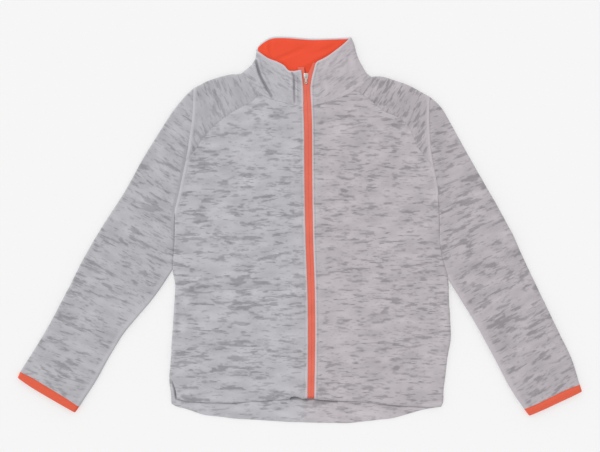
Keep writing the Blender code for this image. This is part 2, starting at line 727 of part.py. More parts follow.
def block(name, low, high, finish, location, bevel=0.0):
    """A block between two corners, with its edges eased where a bevel is given."""
    shaped = bmesh.new()
    bmesh.ops.create_cube(shaped, size=1.0)
    for vertex in shaped.verts:
        vertex.co = [(a + b) / 2 + (b - a) * c for a, b, c in zip(low, high, vertex.co)]
    if bevel:
        edges = list(shaped.edges)
        bmesh.ops.bevel(shaped, geom=edges, offset=bevel, segments=1, affect="EDGES")
    mesh = bpy.data.meshes.new(name)
    shaped.to_mesh(mesh)
    shaped.free()
    return place_mesh(name, mesh, finish, location)


def united(body, *others):
    """Joins other blocks to a body with Booleans and leaves them out of the model."""
    for other in others:
        other.hide_render = True
        other.display_type = "WIRE"
        union = body.modifiers.new(other.name, "BOOLEAN")
        union.operation = "UNION"
        union.object = other


def slider_spot():
    """The slider's middle on top of the tapes, in world axes."""
    top = rise(np.array(SLIDER_PLACE)) - FLEECE - LAY_GAP
    return SLIDER_PLACE[0] + ZIP_FOOT[0], SLIDER_PLACE[1] + ZIP_FOOT[1], top


def make_slider():
    """The slider: a plate over the tapes and one under them, a post between and a bail on top."""
    spot = slider_spot()
    wide, long = SLIDER_WIDTH / 2, SLIDER_LENGTH / 2
    floor = -ZIP_TAPE - SEAM_GAP
    roof = SEAM_GAP + SLIDER_TOP
    low, high = (-wide, -long, SEAM_GAP), (wide, long, roof)
    body = block("zip_slider", low, high, METAL, spot, METAL_EASE)
    low, high = (-wide, -long, floor - SLIDER_BASE), (wide, long, floor)
    base = block("slider_base", low, high, METAL, spot, METAL_EASE)
    low = (-POST_WIDTH / 2, long - POST_LENGTH, floor - SLIDER_BASE / 2)
    high = (POST_WIDTH / 2, long - POST_INSET, roof - SLIDER_TOP / 2)
    post = block("slider_post", low, high, METAL, spot)
    bail, reach = BAIL_WIDTH / 2, BAIL_LENGTH / 2
    top = roof + BAIL_INSIDE
    legs = []
    for number, leg in enumerate((-reach, reach - BAIL_BAR)):
        low = (-bail, leg, roof - SLIDER_TOP / 2)
        high = (bail, leg + BAIL_BAR, top + BAIL_BAR / 2)
        legs.append(block(f"bail_leg_{number}", low, high, METAL, spot))
    bar = block("bail_bar", (-bail, -reach, top), (bail, reach, top + BAIL_BAR), METAL, spot)
    united(body, base, post, *legs, bar)


def make_pull_tab():
    """The pull tab, hanging by its eye from the bail and lying along the zip towards the hem."""
    x, y, z = slider_spot()
    hinge_y = BAIL_LENGTH / 2 - BAIL_BAR - SEAM_GAP - TAB_CROSSBAR / 2
    hinge_z = SEAM_GAP + SLIDER_TOP + SEAM_GAP + TAB_THICK / 2
    outline = bpy.data.curves.new("pull_tab", "CURVE")
    outline.dimensions = "2D"
    outline.fill_mode = "BOTH"
    outline.extrude = TAB_THICK / 2
    head = TAB_CROSSBAR / 2
    wide = TAB_WIDTH / 2
    waist = wide - TAB_WAIST_IN
    shoulder = head - TAB_EYE_LENGTH
    neck = shoulder - TAB_WAIST_RUN
    round_end = head - TAB_LENGTH + wide
    rim = [(-wide, head), (wide, head), (wide, shoulder), (waist, neck)]
    for turn in map(math.radians, TAB_ROUND_STEPS):
        rim.append((wide * math.cos(turn), round_end + wide * math.sin(turn)))
    rim += [(-waist, neck), (-wide, shoulder)]
    eye = TAB_EYE_WIDTH / 2
    hole_top, hole_foot = -TAB_CROSSBAR / 2, -TAB_CROSSBAR / 2 - TAB_EYE_LENGTH
    hole = [(-eye, hole_top), (eye, hole_top), (eye, hole_foot), (-eye, hole_foot)]
    for ring in (rim, hole):
        spline = outline.splines.new("POLY")
        spline.points.add(len(ring) - 1)
        for point, (across, up) in zip(spline.points, ring):
            point.co = (across, up, 0, 1)
        spline.use_cyclic_u = True
    place_mesh("pull_tab", outline, METAL, (x, y + hinge_y, z + hinge_z))


def make_zip_box():
    """The box that holds the zip together at the hem."""
    foot = ZIP_LINE[0]
    top = rise(np.array(foot)) - FLEECE - LAY_GAP + SEAM_GAP
    low, high = (-BOX_WIDTH / 2, 0, 0), (BOX_WIDTH / 2, BOX_LENGTH, BOX_THICK)
    spot = (foot[0] + ZIP_FOOT[0], foot[1] + ZIP_FOOT[1], top)
    block("zip_box", low, high, PLASTIC, spot, BOX_EASE)


def main():
    for old in list(bpy.data.objects):
        bpy.data.objects.remove(old)
    right, left = Half("right"), Half("left")
    make_back(right, left)
    for half in (right, left):
        make_front(half)
        make_yoke(half)
        make_sleeve(half)
        make_cuff(half)
        make_tape(half.side)
    make_collar(right, left)
    make_zip_box()
    make_slider()
    make_pull_tab()


main()
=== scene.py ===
"""The looks of a slub fleece zip jacket that lies flat on its back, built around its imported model.

Axes: +X towards the wearer's left sleeve, +Y from the hem to the collar, +Z up from the floor. Sizes
are in metres, and in the outlines, creases, seams and shades in millimetres. Places in plan are given
from the foot of the zip, and right and left are the wearer's.
"""

import collections
import json
import math

import bmesh
import bpy
import numpy as np
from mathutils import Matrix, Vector


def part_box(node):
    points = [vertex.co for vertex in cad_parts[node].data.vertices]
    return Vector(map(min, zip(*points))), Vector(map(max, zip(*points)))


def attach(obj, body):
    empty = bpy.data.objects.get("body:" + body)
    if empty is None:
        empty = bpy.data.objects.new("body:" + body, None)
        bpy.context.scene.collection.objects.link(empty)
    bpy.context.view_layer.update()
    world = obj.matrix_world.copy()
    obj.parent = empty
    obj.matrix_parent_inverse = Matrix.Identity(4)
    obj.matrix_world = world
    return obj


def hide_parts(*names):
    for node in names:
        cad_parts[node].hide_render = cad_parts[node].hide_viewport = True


bl_info = {
    "name": "Fleece Zip Jacket",
    "version": (1, 0, 0),
    "blender": (4, 5, 0),
    "location": "3D View > Sidebar > Jacket",
    "description": "Builds a slub fleece jacket with a full front zip, laid flat",
    "category": "Object",
}

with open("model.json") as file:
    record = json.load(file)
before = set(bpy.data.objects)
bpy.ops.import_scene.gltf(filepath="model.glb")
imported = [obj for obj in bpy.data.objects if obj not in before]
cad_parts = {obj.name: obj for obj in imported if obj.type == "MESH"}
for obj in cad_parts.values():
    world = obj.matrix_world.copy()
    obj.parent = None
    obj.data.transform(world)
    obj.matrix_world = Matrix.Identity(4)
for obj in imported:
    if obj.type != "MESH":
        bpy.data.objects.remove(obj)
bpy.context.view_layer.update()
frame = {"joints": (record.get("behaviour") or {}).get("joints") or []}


def metres(rows):
    """Numbers given in millimetres, or nested rows of them, in metres."""
    return tuple(metres(row) for row in rows) if isinstance(rows, tuple) else rows / 1000


# The lay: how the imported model's layers stand above the floor.
SEAM_GAP = 0.0003
LAY_GAP = 0.0004
COLLAR_GAP = 0.0007
TUCK_GAP = -0.0006
BODY_RISE = 0.0074
NECK_RISE = 0.0100
HEM_RISE = 0.0062
FOLD_SPREAD = 1.4
FLEECE = 0.0020
NECK_RISE_OVER = (0.42, 0.54)
NECK_FADE_OVER = (0.135, 0.21)
HEM_RISE_DEEP = 0.06
HEM_LIFT_OVER = (0.03, 0.09)
BODY_HALF = 0.28

# The zip.
ZIP_FOOT = (0.0205, -0.3096)
ZIP_SHOWS = 0.0127
TAPE_WIDTH = 0.0123
SLIDER_PLACE = (-0.0091, 0.5920)
ZIP_SINKS_OVER = (0.568, 0.584)
CROWN_FALLS_OVER = (0.0080, 0.0095)
HEM_LIFTS_UP_TO = 0.032
HEM_CURLS_OVER = 0.005
TAPE_FOOT_CUT = 0.008
HEM_LIFTS_BESIDE = (0.036, 0.056)
HEM_LIFT_FAR = 0.2
TAPES_APART = 0.00006
TAPE_CUT_ACROSS, TAPE_CUT_ALONG = (0.45, 0.75), (0, 0.03)

# The slider, with the reach, the height and the rounding of its bail's outside and inside, the pull
# tab and the zip box.
SHIELD_WIDTH, SHIELD_LENGTH = 0.0086, 0.0110
BAIL = ((0.0032, 0.0029, 0.0013), (0.0023, 0.0020, 0.0005))
TAB_WIDTH, TAB_LENGTH, TAB_HEAD = 0.0050, 0.0165, 0.0006
RIB_PITCH = 0.0021

# The cuff binding.
BINDING_WIDTH, BINDING_CROWN = 0.011, 0.0006
BINDING_RIBS, BINDING_RIB_PITCH = 0.00012, 0.0021
BINDING_SEAM_AT, BINDING_SEAM_WIDTH = 0.0022, 0.0008

# Stitches: how far from the edge, and along each one its places, heights and thicknesses, as shares
# of half its length and of half the thread.
STITCHES_BESIDE = 0.0056
STITCH_ALONG = np.array((-1, -0.55, 0, 0.55, 1))
STITCH_HIGH = np.array((-1.1, 0.5, 0.9, 0.5, -1.1))
STITCH_THICK = (0.5, 0.95, 1.0, 0.95, 0.5)
STITCH_SIDES = 6

# Seams: how wide the stitches pull the cloth down, and how the cloth gathers beside them.
GROOVE_WIDTH = 0.0014
GATHER_LENGTH, GATHER_SWAY, GATHER_SWAY_LENGTH = 0.0125, 2.2, 0.047
GATHER_START, GATHER_WIDTH = 0.002, 0.008

# The lining of the collar: how much of the front's relief it follows, how far it sinks below, between
# which heights it stays, and over which distances it lifts off inside the back.
LINING_FOLLOWS, LINING_SINKS = 0.7, 0.0007
LINING_FRONT_STAYS, LINING_BACK_STAYS = (-0.0014, 0), (-0.0024, 0.0003)
LINING_LIFTS_BELOW, LINING_LIFTS_ABOVE = (0.0030, 0.0120), (-0.0020, 0.0080)

# The unevenness of the upper and the lower layer, and how much of it the lower one shows.
UPPER_SEED, LOWER_SEED = 3, 8
LOWER_SHARE = 0.8

# Streak fading and painted highlights: within how much of the width the streaks fade whole and by how
# much; and beside the armholes, the front edges, the underarm seams and the collar's rim how far, and how
# much paler the colour is painted, as a highlight where these raised edges and folds catch the light; at
# the collar's rim it is also the lighter brushed face of the turned edge.
FADE_WHOLE = 0.4
FADED_STREAKS = 0.85
ARMHOLE_FADE_AND_HIGHLIGHT = (0.009, 0.12)
EDGE_FADE_AND_HIGHLIGHT = (0.0042, 0.25)
UNDERARM_FADE_AND_HIGHLIGHT = (0.012, 0.05)
RIM_FADE_AND_HIGHLIGHT = (0.0045, 0.34)

# The stage: the floor, the light, and the camera straight above, with the width that it sees.
FLOOR_HALF, FLOOR_DROP = 4.0, 0.0004
ROOM_LIGHT, LAMP_LIGHT = 0.70, 1.50
LAMP_SPREAD = math.radians(20)
LAMP_FROM = Vector((-0.50, 0.46, 0.73))
CAMERA_OVER = (0.0003, 0.0069)
LAY_MIDDLE = 0.006
CAMERA_AWAY, CAMERA_SEES = 2.4, 1.104

# Where an edge made of two curves changes over, as a share of its length.
PATCH_NECK = 0.36
PATCH_VENT = 1 / 12
PATCH_PIT = 0.75
SLEEVE_NOTCH = 0.5
SIDE_OPENS_OVER = (0.73, 0.80)
TUCK_START, TUCK_WHOLE = 0.4, 0.10
SLEEVE_LEAN = 0.6
COLLAR_LINING_START = 0.11
COLLAR_HEIGHT = 0.070
FOLD_ANGLES = np.radians(np.arange(0, 90, 9))
SEWN_NOSE = 0.0002
RIM_TURN = 0.9
CROWD_OVER = 4
SUPPORT = 0.15
FACING_BLEND = 0.04
ZIP_EDGE_STEPS = 24

# The middle of the zip from the hem up to the slider, and the inner edges of its tapes above it.
ZIP_LINE = metres((
    (-0.2, -1), (1.3, 107), (0.4, 195), (-2.8, 291), (-4.6, 401), (-5.3, 500), (-7.8, 560), (-8.8, 583.5),
))
TAPE_ENDS = {
    "right": metres(((-10.9, 592), (-11.8, 601), (-12.6, 609))),
    "left": metres(((-7.3, 592), (-4.2, 600), (0.3, 609), (3.6, 617))),
}

# Outlines of each half, in millimetres. Each runs from its first to its last named place.
OUTLINES = {
    "right": {
        "front_hem, zip to side": (
            (-6.5, -1.4), (-14, -1), (-21, 0.8), (-29, 2.3), (-35, 1.6), (-42, -1.4), (-68.1, -4.2),
            (-112.4, -7.4), (-161, -9), (-226.5, -6.3), (-246.8, -1.8),
        ),
        "front_vent, hem to side": ((-246.8, -1.8), (-248.4, 11), (-250.7, 20), (-255, 31), (-261.2, 40)),
        "back_vent, hem to side": ((-257.2, -11), (-258.2, 4), (-260.6, 20), (-261.2, 40)),
        "side_seam, vent to armpit": (
            (-261.2, 40), (-257.3, 76.4), (-256.1, 106.7), (-251.3, 180.3), (-250.3, 209.4),
            (-254.7, 237.4), (-251.8, 290), (-251, 344.4),
        ),
        "armhole, armpit to shoulder": (
            (-251, 344.4), (-243.1, 376.6), (-236, 410), (-228.5, 446), (-223.5, 480), (-219.3, 510),
            (-217.3, 545), (-216.5, 570),
        ),
        "neck, zip to shoulder": (
            (-14, 535), (-47.8, 542.8), (-82.8, 553.8), (-108.6, 572.2), (-128.8, 597),
        ),
        "yoke_seam, inner points": (
            (-108.6, 546.5), (-140.9, 528), (-165.6, 511.5), (-182.2, 497.2), (-198.7, 478.8),
            (-212, 458),
        ),
        "back_yoke_seam, inner points": (
            (-108.6, 556), (-140.9, 531), (-165.6, 511.5), (-182.2, 497.2), (-198.7, 478.8), (-212, 458),
        ),
        "shoulder, neck to armhole": (
            (-128.8, 597), (-137.1, 595.7), (-145.2, 595.8), (-165.6, 591.4), (-189.9, 583.2),
            (-216.5, 570),
        ),
        "sleeve_outer, shoulder to cuff": (
            (-216.5, 570), (-233.7, 553.2), (-253.7, 528.6), (-273.7, 497.5), (-306.9, 444.8),
            (-342.7, 380.3), (-386.3, 312.3), (-418.7, 256.7), (-448, 198.6), (-488.5, 123.4),
            (-535.5, 47.8),
        ),
        "sleeve_inner, notch to cuff": (
            (-254.7, 237.4), (-273.4, 207.3), (-294, 179), (-316.5, 152.6), (-343.2, 120.5),
            (-370.8, 76.4), (-395.3, 32.2), (-426.5, -16),
        ),
        "cuff, inner to outer": (
            (-426.5, -16), (-455.5, 2.6), (-481, 18.2), (-509, 34.6), (-535.5, 47.8),
        ),
        "cuff_end, inner to outer": (
            (-434.5, -27), (-461.5, -11.8), (-490, 4.8), (-517.5, 21.4), (-540, 37.2),
        ),
        "collar_edge, seam to top": ((-14, 535), (-14.4, 569), (-17.5, 603.5)),
        "collar_top, zip to fold": (
            (-17.5, 603.5), (-39.9, 602.2), (-48.6, 611.1), (-60.9, 618.1), (-78.6, 625), (-100.5, 640),
        ),
        "collar_fold, seam to top": (
            (-128.8, 597), (-118, 605.8), (-108.4, 614.4), (-101.8, 626.7), (-100.5, 640),
        ),
    },
    "left": {
        "front_hem, zip to side": (
            (6.2, -0.9), (45.6, -5), (87.6, -7), (123.3, -11), (179.4, -15.2), (210, -16.8), (229, -17.4),
            (240.2, -16),
        ),
        "front_vent, hem to side": ((240.2, -16), (243.2, -8), (244.4, 15), (247.7, 40)),
        "back_vent, hem to side": ((240.2, -16.2), (243.2, -8), (244.4, 15), (247.7, 40)),
        "side_seam, vent to armpit": (
            (247.7, 40), (251.8, 76), (256.9, 106.7), (256.2, 144.6), (253.9, 180.3), (252.4, 219.9),
            (242.9, 256.7), (237.9, 288), (236.8, 333.2), (235.3, 366.3),
        ),
        "armhole, armpit to shoulder": (
            (235.3, 366.3), (232.7, 390.8), (227.2, 419), (222.2, 446), (219, 480), (217.8, 510),
            (218, 534), (219, 554.4),
        ),
        "neck, zip to shoulder": ((0.5, 537), (27.6, 543.7), (62.6, 556), (88, 571), (110.4, 591.5)),
        "yoke_seam, inner points": (
            (118.9, 540.2), (135.1, 527), (155.7, 518.5), (176.1, 503.4), (185.8, 487), (196.5, 462),
        ),
        "back_yoke_seam, inner points": (
            (106, 558), (135.1, 533), (155.7, 518.5), (176.1, 503.4), (185.8, 487), (196.5, 462),
        ),
        "shoulder, neck to armhole": (
            (110.4, 591.5), (130.6, 591.4), (155.5, 584.2), (179.9, 575.2), (219, 554.4),
        ),
        "sleeve_outer, shoulder to cuff": (
            (219, 554.4), (233.2, 542.1), (242.5, 531.2), (253, 513.1), (277.7, 468.4), (310.6, 409.8),
            (361, 320.5), (404.8, 228.1), (431.2, 173), (455.2, 122.5), (478.4, 76), (495, 24.5),
        ),
        "sleeve_inner, notch to cuff": (
            (252.4, 219.9), (276.9, 179.4), (300.8, 140.8), (332.8, 82.6), (366.6, 18.5), (392.5, -20.5),
        ),
        "cuff, inner to outer": (
            (392.5, -20.5), (416.8, -10.4), (432.1, -3.4), (456.7, 8.8), (479.7, 19), (495, 24.5),
        ),
        "cuff_end, inner to outer": ((402, -32.8), (431, -20.4), (456, -8.6), (479, 2), (499, 12)),
        "collar_edge, seam to top": ((0.5, 537), (-1, 569), (0.6, 585), (4.2, 600.4), (9.2, 618.1)),
        "collar_top, zip to fold": (
            (9.2, 618.1), (27, 626.9), (44.7, 639.2), (62.2, 653.2), (73.8, 664.2),
        ),
        "collar_fold, seam to top": (
            (110.4, 591.5), (102, 598.7), (96, 608.3), (89.2, 620.8), (84.2, 633.5), (79.5, 651.3),
            (73.8, 664.2),
        ),
    },
}

# Across the back, from the right to the left.
BACK_HEM = metres((
    (-257.2, -11), (-247.4, -16.5), (-232.8, -19.9), (-196.8, -31.6), (-173.1, -34.2), (-148.1, -37.6),
    (-85, -41.8), (-21.7, -45.2), (35, -46.4), (70, -46.8), (89.4, -44.7), (120.2, -41), (149, -37.7),
    (179, -29.8), (208.4, -21.6), (240.2, -16.2),
))
BACK_NECK = metres((
    (-128.8, 597), (-95, 594.5), (-40, 591), (0, 590), (50, 590.5), (85, 592), (110.4, 591.5),
))
BACK_COLLAR_TOP = metres((
    (-100.5, 640), (-97, 648.2), (-87.2, 657.2), (-73.8, 664.2), (-50.4, 665.8), (0.6, 662.2),
    (53.4, 663.4), (73.8, 664.2),
))

# How far along each shared seam the yoke joins it.
YOKE_JOINS = {
    "right": {"neck": 0.62, "armhole": 0.41, "back_neck": 0.17},
    "left": {"neck": 0.70, "armhole": 0.31, "back_neck": 0.87},
}

# How far the side edge turns at the hem: the right side has an open vent there.
HEM_FOLDS = {"right": 0.0, "left": 1.0}

Crease = collections.namedtuple("Crease", "path half_width height sharp")
Seam = collections.namedtuple(
    "Seam", "line dip dip_width ridge ridge_at ridge_width groove groove_at pucker"
)

# Creases by piece: the line, half the width, the height and whether it is sharp. A negative height is
# a hollow, and a sharp one has a narrow floor.
CREASES = {
    "collar": (
        (((-101.2, 621.9), (-93.8, 594.3), (-84.6, 575.9), (-71.8, 553.8)), 3.6, -1.1, 1),
        (((-97.2, 624), (-89.3, 595.5), (-81.2, 580), (-74.5, 569)), 5.2, 1.4, 0),
        (((-105, 619), (-98.2, 592.5), (-90.5, 577), (-85, 568)), 4.8, 1.5, 0),
        (((-35.3, 599.3), (-31.3, 590.6), (-30.7, 570.4), (-30, 539.1)), 3.6, -1, 1),
        (((-31, 600), (-27.2, 590.6), (-26.6, 570.4), (-26.2, 539.1)), 4.2, 0.8, 0),
        (((-45.1, 556.6), (-31.3, 538.2)), 4, -0.9, 1),
        (((-38.5, 597), (-35.2, 588), (-34.8, 564)), 5, 1, 0),
        (((-125.1, 596.2), (-115.9, 585.1)), 4, -1.1, 1),
        (((30, 610), (42, 590), (52, 568)), 11, 0.8, 0),
        (((18, 600), (23, 575), (24, 556)), 7, -0.6, 0),
        (((62, 642), (72, 615), (70, 590)), 8, -0.7, 0),
        (((85, 630), (90, 608), (98, 596)), 6, -0.6, 0),
    ),
    "body": (
        (((-230, 185.8), (-189.5, 198.7), (-110, 200), (-38.6, 197)), 10, -1.1, 0),
        (((-230, 206), (-185, 220), (-110, 218)), 13, 0.7, 0),
        (((-195, 350), (-183, 324), (-185, 300)), 12, -0.8, 0),
        (((-150, 395), (-105, 380), (-60, 390)), 12, -0.5, 0),
        (((121.4, 165.6), (134, 156), (149, 147.2)), 6, -0.9, 1),
        (((141.7, 169.3), (132.5, 154.6)), 5, -0.7, 1),
        (((31.3, 529.9), (54, 518), (77.3, 506)), 8, -1, 0),
        (((62, 553), (84, 548), (110, 544), (150.9, 529.9)), 7, -1.2, 0),
        (((84.6, 544.6), (99.4, 535.4)), 4, -0.7, 1),
        (((232, 190), (240, 155), (238, 120)), 11, -1, 0),
        (((-238, 190), (-240, 155), (-242, 120)), 11, -1, 0),
        (((42, 345), (31, 329), (34, 310)), 10, -0.6, 0),
        (((90, 402), (109, 395), (130, 400)), 10, -0.6, 0),
        (((-175, 525), (-165, 485)), 6, -0.8, 0),
        (((-195, 505), (-188, 470)), 7, -0.7, 0),
        (((185, 505), (170, 470)), 7, -0.7, 0),
    ),
    "sleeve_right": (
        (((-248, 430), (-259, 360), (-266, 300)), 18, -0.9, 0),
        (((-296.2, 445.3), (-276, 430), (-255.8, 415.8)), 6, -1, 0),
        (((-275, 424), (-254, 408)), 6, -1, 0),
        (((-320, 342), (-300, 330), (-275, 325)), 10, -0.9, 0),
        (((-365, 180), (-345, 168), (-325, 170)), 11, -1.1, 0),
        (((-445, 115), (-425, 100), (-390, 85)), 10, -0.9, 0),
        (((-390, 250), (-355, 230)), 16, 0.9, 0),
    ),
    "sleeve_left": (
        (((244, 520), (250, 460), (256, 410), (268, 360)), 27, -2.2, 0),
        (((258, 370), (284, 376), (312, 385)), 11, -1.2, 0),
        (((260, 356), (280, 340)), 9, -0.9, 0),
        (((300, 236), (316.5, 222.6), (340, 215)), 12, -1.1, 0),
        (((370, 174), (384.6, 161.9), (405, 152)), 10, -0.9, 0),
        (((365, 94), (390, 95), (430, 113)), 10, -0.8, 0),
        (((330, 290), (365, 275)), 16, 0.9, 0),
    ),
    "tail": (
        (((-251.8, 3), (-252.6, 10), (-255, 21)), 2.5, 1, 0),
        (((-244, -9), (-229, -14), (-205, -22)), 5.5, 1.4, 0),
        (((-150, -25), (-100, -28), (-40, -30)), 9, 0.6, 0),
        (((50, -30), (110, -28), (150, -24)), 9, 0.6, 0),
    ),
    "lining": (
        (((-66.2, 621.9), (-40, 632), (-12, 644)), 6, -0.8, 0),
        (((-74.5, 658), (-74.8, 644), (-70, 630)), 6.2, -1.1, 0),
        (((-90, 650), (-86, 638)), 5.8, -0.8, 0),
        (((5, 633), (30, 642), (55, 656)), 8, -0.5, 0),
    ),
}

# How the cloth of each piece lies beside its seams, in millimetres: how deep and how wide it dips
# there; how high its ridge stands, how far away and how wide; how deep the stitches pull it down and
# how far away; and how high it gathers.
SEAMS = {
    "front": {
        "zip_edge": (0, 3, 0.5, 3, 2.2, 0.5, 5.6, 0),
        "armhole": (0, 3, 0.9, 4.5, 4.5, 0.3, 5.6, 0.15),
        "yoke_seam": (0.3, 4, 0.1, 6, 4, 0, 5, 0.2),
        "neck": (0.3, 4, 0.2, 6.5, 4, 0, 5, 0.3),
    },
    "yoke": {
        "armhole": (0, 3, 0.9, 4.5, 4.5, 0.3, 5.6, 0.15),
        "yoke_seam": (0.3, 4, 0.3, 5.5, 4, 0, 5, 0.2),
        "neck": (0.3, 4, 0.2, 6.5, 4, 0, 5, 0.3),
    },
    "sleeve_right": {"armhole": (1, 6, 0, 6, 4, 0, 5, 0.3)},
    "sleeve_left": {"armhole": (0.4, 6, 0, 6, 4, 0, 5, 0.3)},
    "collar": {
        "neck": (0.3, 4, 0.3, 6, 4, 0, 5, 0.3),
        "collar_edge": (0, 3, 0.4, 3, 2.2, 0.4, 5.6, 0),
    },
}

# Places where a fold shades the cloth or light catches it: along which line, how far beside it, and
# how much darker it is, or paler where negative.
SHADES = {
    "front_left": (
        (((208, -13), (224, -12.8), (238.5, -10.5)), 5.5, -0.16),
    ),
    "back_panel": (
        (((-37, 0.6), (-30, 0.8), (-22, -0.6), (-8, -3.2)), 5, 0.9),
        (((7, -3.4), (25, -4.9), (46, -6.8)), 4.5, 0.9),
        (((-255.5, 29), (-252.2, 19), (-250.1, 10), (-248.6, -1)), 2.8, 0.8),
    ),
    "sleeve_right": (
        (((-230, 456), (-237.5, 410), (-245, 376.6), (-253, 344.4), (-254, 300)), 5, 0.3),
    ),
    "collar_outer": (
        (((-101.2, 620), (-93.8, 594.3), (-84.6, 575.9), (-73, 556)), 3.4, 0.8),
        (((-35, 598), (-31.3, 590.6), (-30.7, 570.4), (-30.2, 545)), 2.4, 0.55),
    ),
}

# Slow unevenness of the cloth: how far apart its waves are, how high they are and how many are mixed.
RUMPLES = ((0.170, 0.00060, 5), (0.075, 0.00040, 8), (0.034, 0.00020, 10))


def ease(value, low, high):
    share = np.clip((value - low) / (high - low), 0, 1)
    return share * share * (3 - 2 * share)


def soft_clip(value, low, high):
    """Keeps a value between two limits without a kink where it reaches them."""
    middle, half = (low + high) / 2, (high - low) / 2
    return middle + half * np.tanh((value - middle) / half)


def unit(vectors):
    return vectors / np.maximum(np.linalg.norm(vectors, axis=-1, keepdims=True), 1e-12)


class Curve:
    """A smooth curve through a few places in plan, read by the share of its length."""

    STEPS = 24

    def __init__(self, places):
        ends = np.array(places, float)
        knots = np.vstack([2 * ends[0] - ends[1], ends, 2 * ends[-1] - ends[-2]])
        shares = np.arange(self.STEPS)[:, None] / self.STEPS
        spans = [self.span(knots[i : i + 4], shares) for i in range(len(ends) - 1)]
        self.points = np.vstack(spans + [ends[-1:]])
        steps = np.linalg.norm(np.diff(self.points, axis=0), axis=1)
        self.lengths = np.concatenate([[0], np.cumsum(steps)])

    @staticmethod
    def span(knots, t):
        """One centripetal Catmull-Rom span, between the two middle knots."""
        before, first, second, after = knots
        gaps = [math.sqrt(np.linalg.norm(b - a)) for a, b in zip(knots[:-1], knots[1:])]
        leave = (first - before) / gaps[0] - (second - before) / (gaps[0] + gaps[1])
        leave = (leave + (second - first) / gaps[1]) * gaps[1]
        arrive = (second - first) / gaps[1] - (after - first) / (gaps[1] + gaps[2])
        arrive = (arrive + (after - second) / gaps[2]) * gaps[1]
        cubic = 2 * first - 2 * second + leave + arrive
        square = -3 * first + 3 * second - 2 * leave - arrive
        return cubic * t**3 + square * t**2 + leave * t + first

    def __call__(self, share):
        reach = np.asarray(share, float) * self.lengths[-1]
        return np.stack([np.interp(reach, self.lengths, self.points[:, i]) for i in (0, 1)], axis=-1)

    def part(self, start, end):
        return lambda share: self(start + (end - start) * np.asarray(share, float))

    def share_at(self, height):
        """How far along the curve, which climbs all the way, it reaches a height in plan."""
        return np.interp(height, self.points[:, 1], self.lengths / self.lengths[-1])


def joined(first, second, at):
    """Two edges end to end, the first up to the given share."""

    def edge(share):
        share = np.asarray(share, float)
        on_first = first(np.minimum(share / at, 1))
        on_second = second(np.maximum((share - at) / (1 - at), 0))
        return np.where((share <= at)[..., None], on_first, on_second)

    return edge


def turned(edge):
    return lambda share: edge(1 - np.asarray(share, float))


def patch(start, end, near, far, lean=1.0):
    """The plan between four edges: start and end run along, near and far run across."""
    corners = near(0), near(1), far(0), far(1)

    def plan(across, along):
        across, along = np.broadcast_arrays(np.asarray(across, float), np.asarray(along, float))
        pull, up = (across**lean)[..., None], along[..., None]
        sides = (1 - pull) * start(along) + pull * end(along)
        ends = (1 - up) * near(across) + up * far(across)
        near_line = (1 - pull) * corners[0] + pull * corners[1]
        far_line = (1 - pull) * corners[2] + pull * corners[3]
        return sides + ends - (1 - up) * near_line - up * far_line

    return plan


def other_way(plan):
    """The same plan with its across running back."""
    return lambda across, along: plan(1 - np.asarray(across, float), along)


def sections(*stops):
    """Shares with even steps between stops, given as a share and the steps up to the next one."""
    shares = []
    for (share, steps), (after, _) in zip(stops[:-1], stops[1:]):
        shares += list(np.linspace(share, after, steps, endpoint=False))
    return np.array([*shares, stops[-1][0]])


def rise(places):
    """The height of the top of the lay above the floor."""
    x, y = np.abs(places[..., 0]), places[..., 1]
    at_neck = ease(y, *NECK_RISE_OVER) * (1 - ease(x, *NECK_FADE_OVER))
    at_hem = (1 - ease(y, 0, HEM_RISE_DEEP)) * ease(x, *HEM_LIFT_OVER) * (x < BODY_HALF)
    return BODY_RISE + (NECK_RISE - BODY_RISE) * at_neck + (HEM_RISE - BODY_RISE) * at_hem


class Line:
    """A path in plan, from which distances across and along it are measured."""

    def __init__(self, edge, steps=32):
        self.points = edge(np.linspace(0, 1, steps + 1))
        self.runs = np.diff(self.points, axis=0)
        self.lengths = np.linalg.norm(self.runs, axis=1)
        self.starts = np.concatenate([[0], np.cumsum(self.lengths)])

    def measure(self, places):
        """How far places are from the path, and how far along it they are."""
        flat = places.reshape(-1, 2)
        best = np.full(len(flat), np.inf)
        along = np.zeros(len(flat))
        for point, run, length, start in zip(self.points, self.runs, self.lengths, self.starts):
            share = np.clip((flat - point) @ run / length**2, 0, 1)
            away = np.linalg.norm(flat - point - share[:, None] * run, axis=1)
            nearer = away < best
            best[nearer] = away[nearer]
            along[nearer] = start + share[nearer] * length
        return best.reshape(places.shape[:-1]), along.reshape(places.shape[:-1])


def rumpled(places, seed):
    """Slow waves that cross each other, the same for all cloth of one layer."""
    draw = np.random.default_rng(seed)
    height = np.zeros(places.shape[:-1])
    for apart, high, count in RUMPLES:
        for _ in range(count):
            turn, phase = draw.uniform(0, 2 * math.pi, 2)
            way = np.array((math.cos(turn), math.sin(turn))) * draw.uniform(0.8, 1.25) / apart
            height += high / math.sqrt(count) * np.sin(2 * math.pi * (places @ way) + phase)
    return height


def hump(away, at, width):
    """A smooth hump beside a line, by the distance from it."""
    return np.exp(-(((away - at) / width) ** 2))


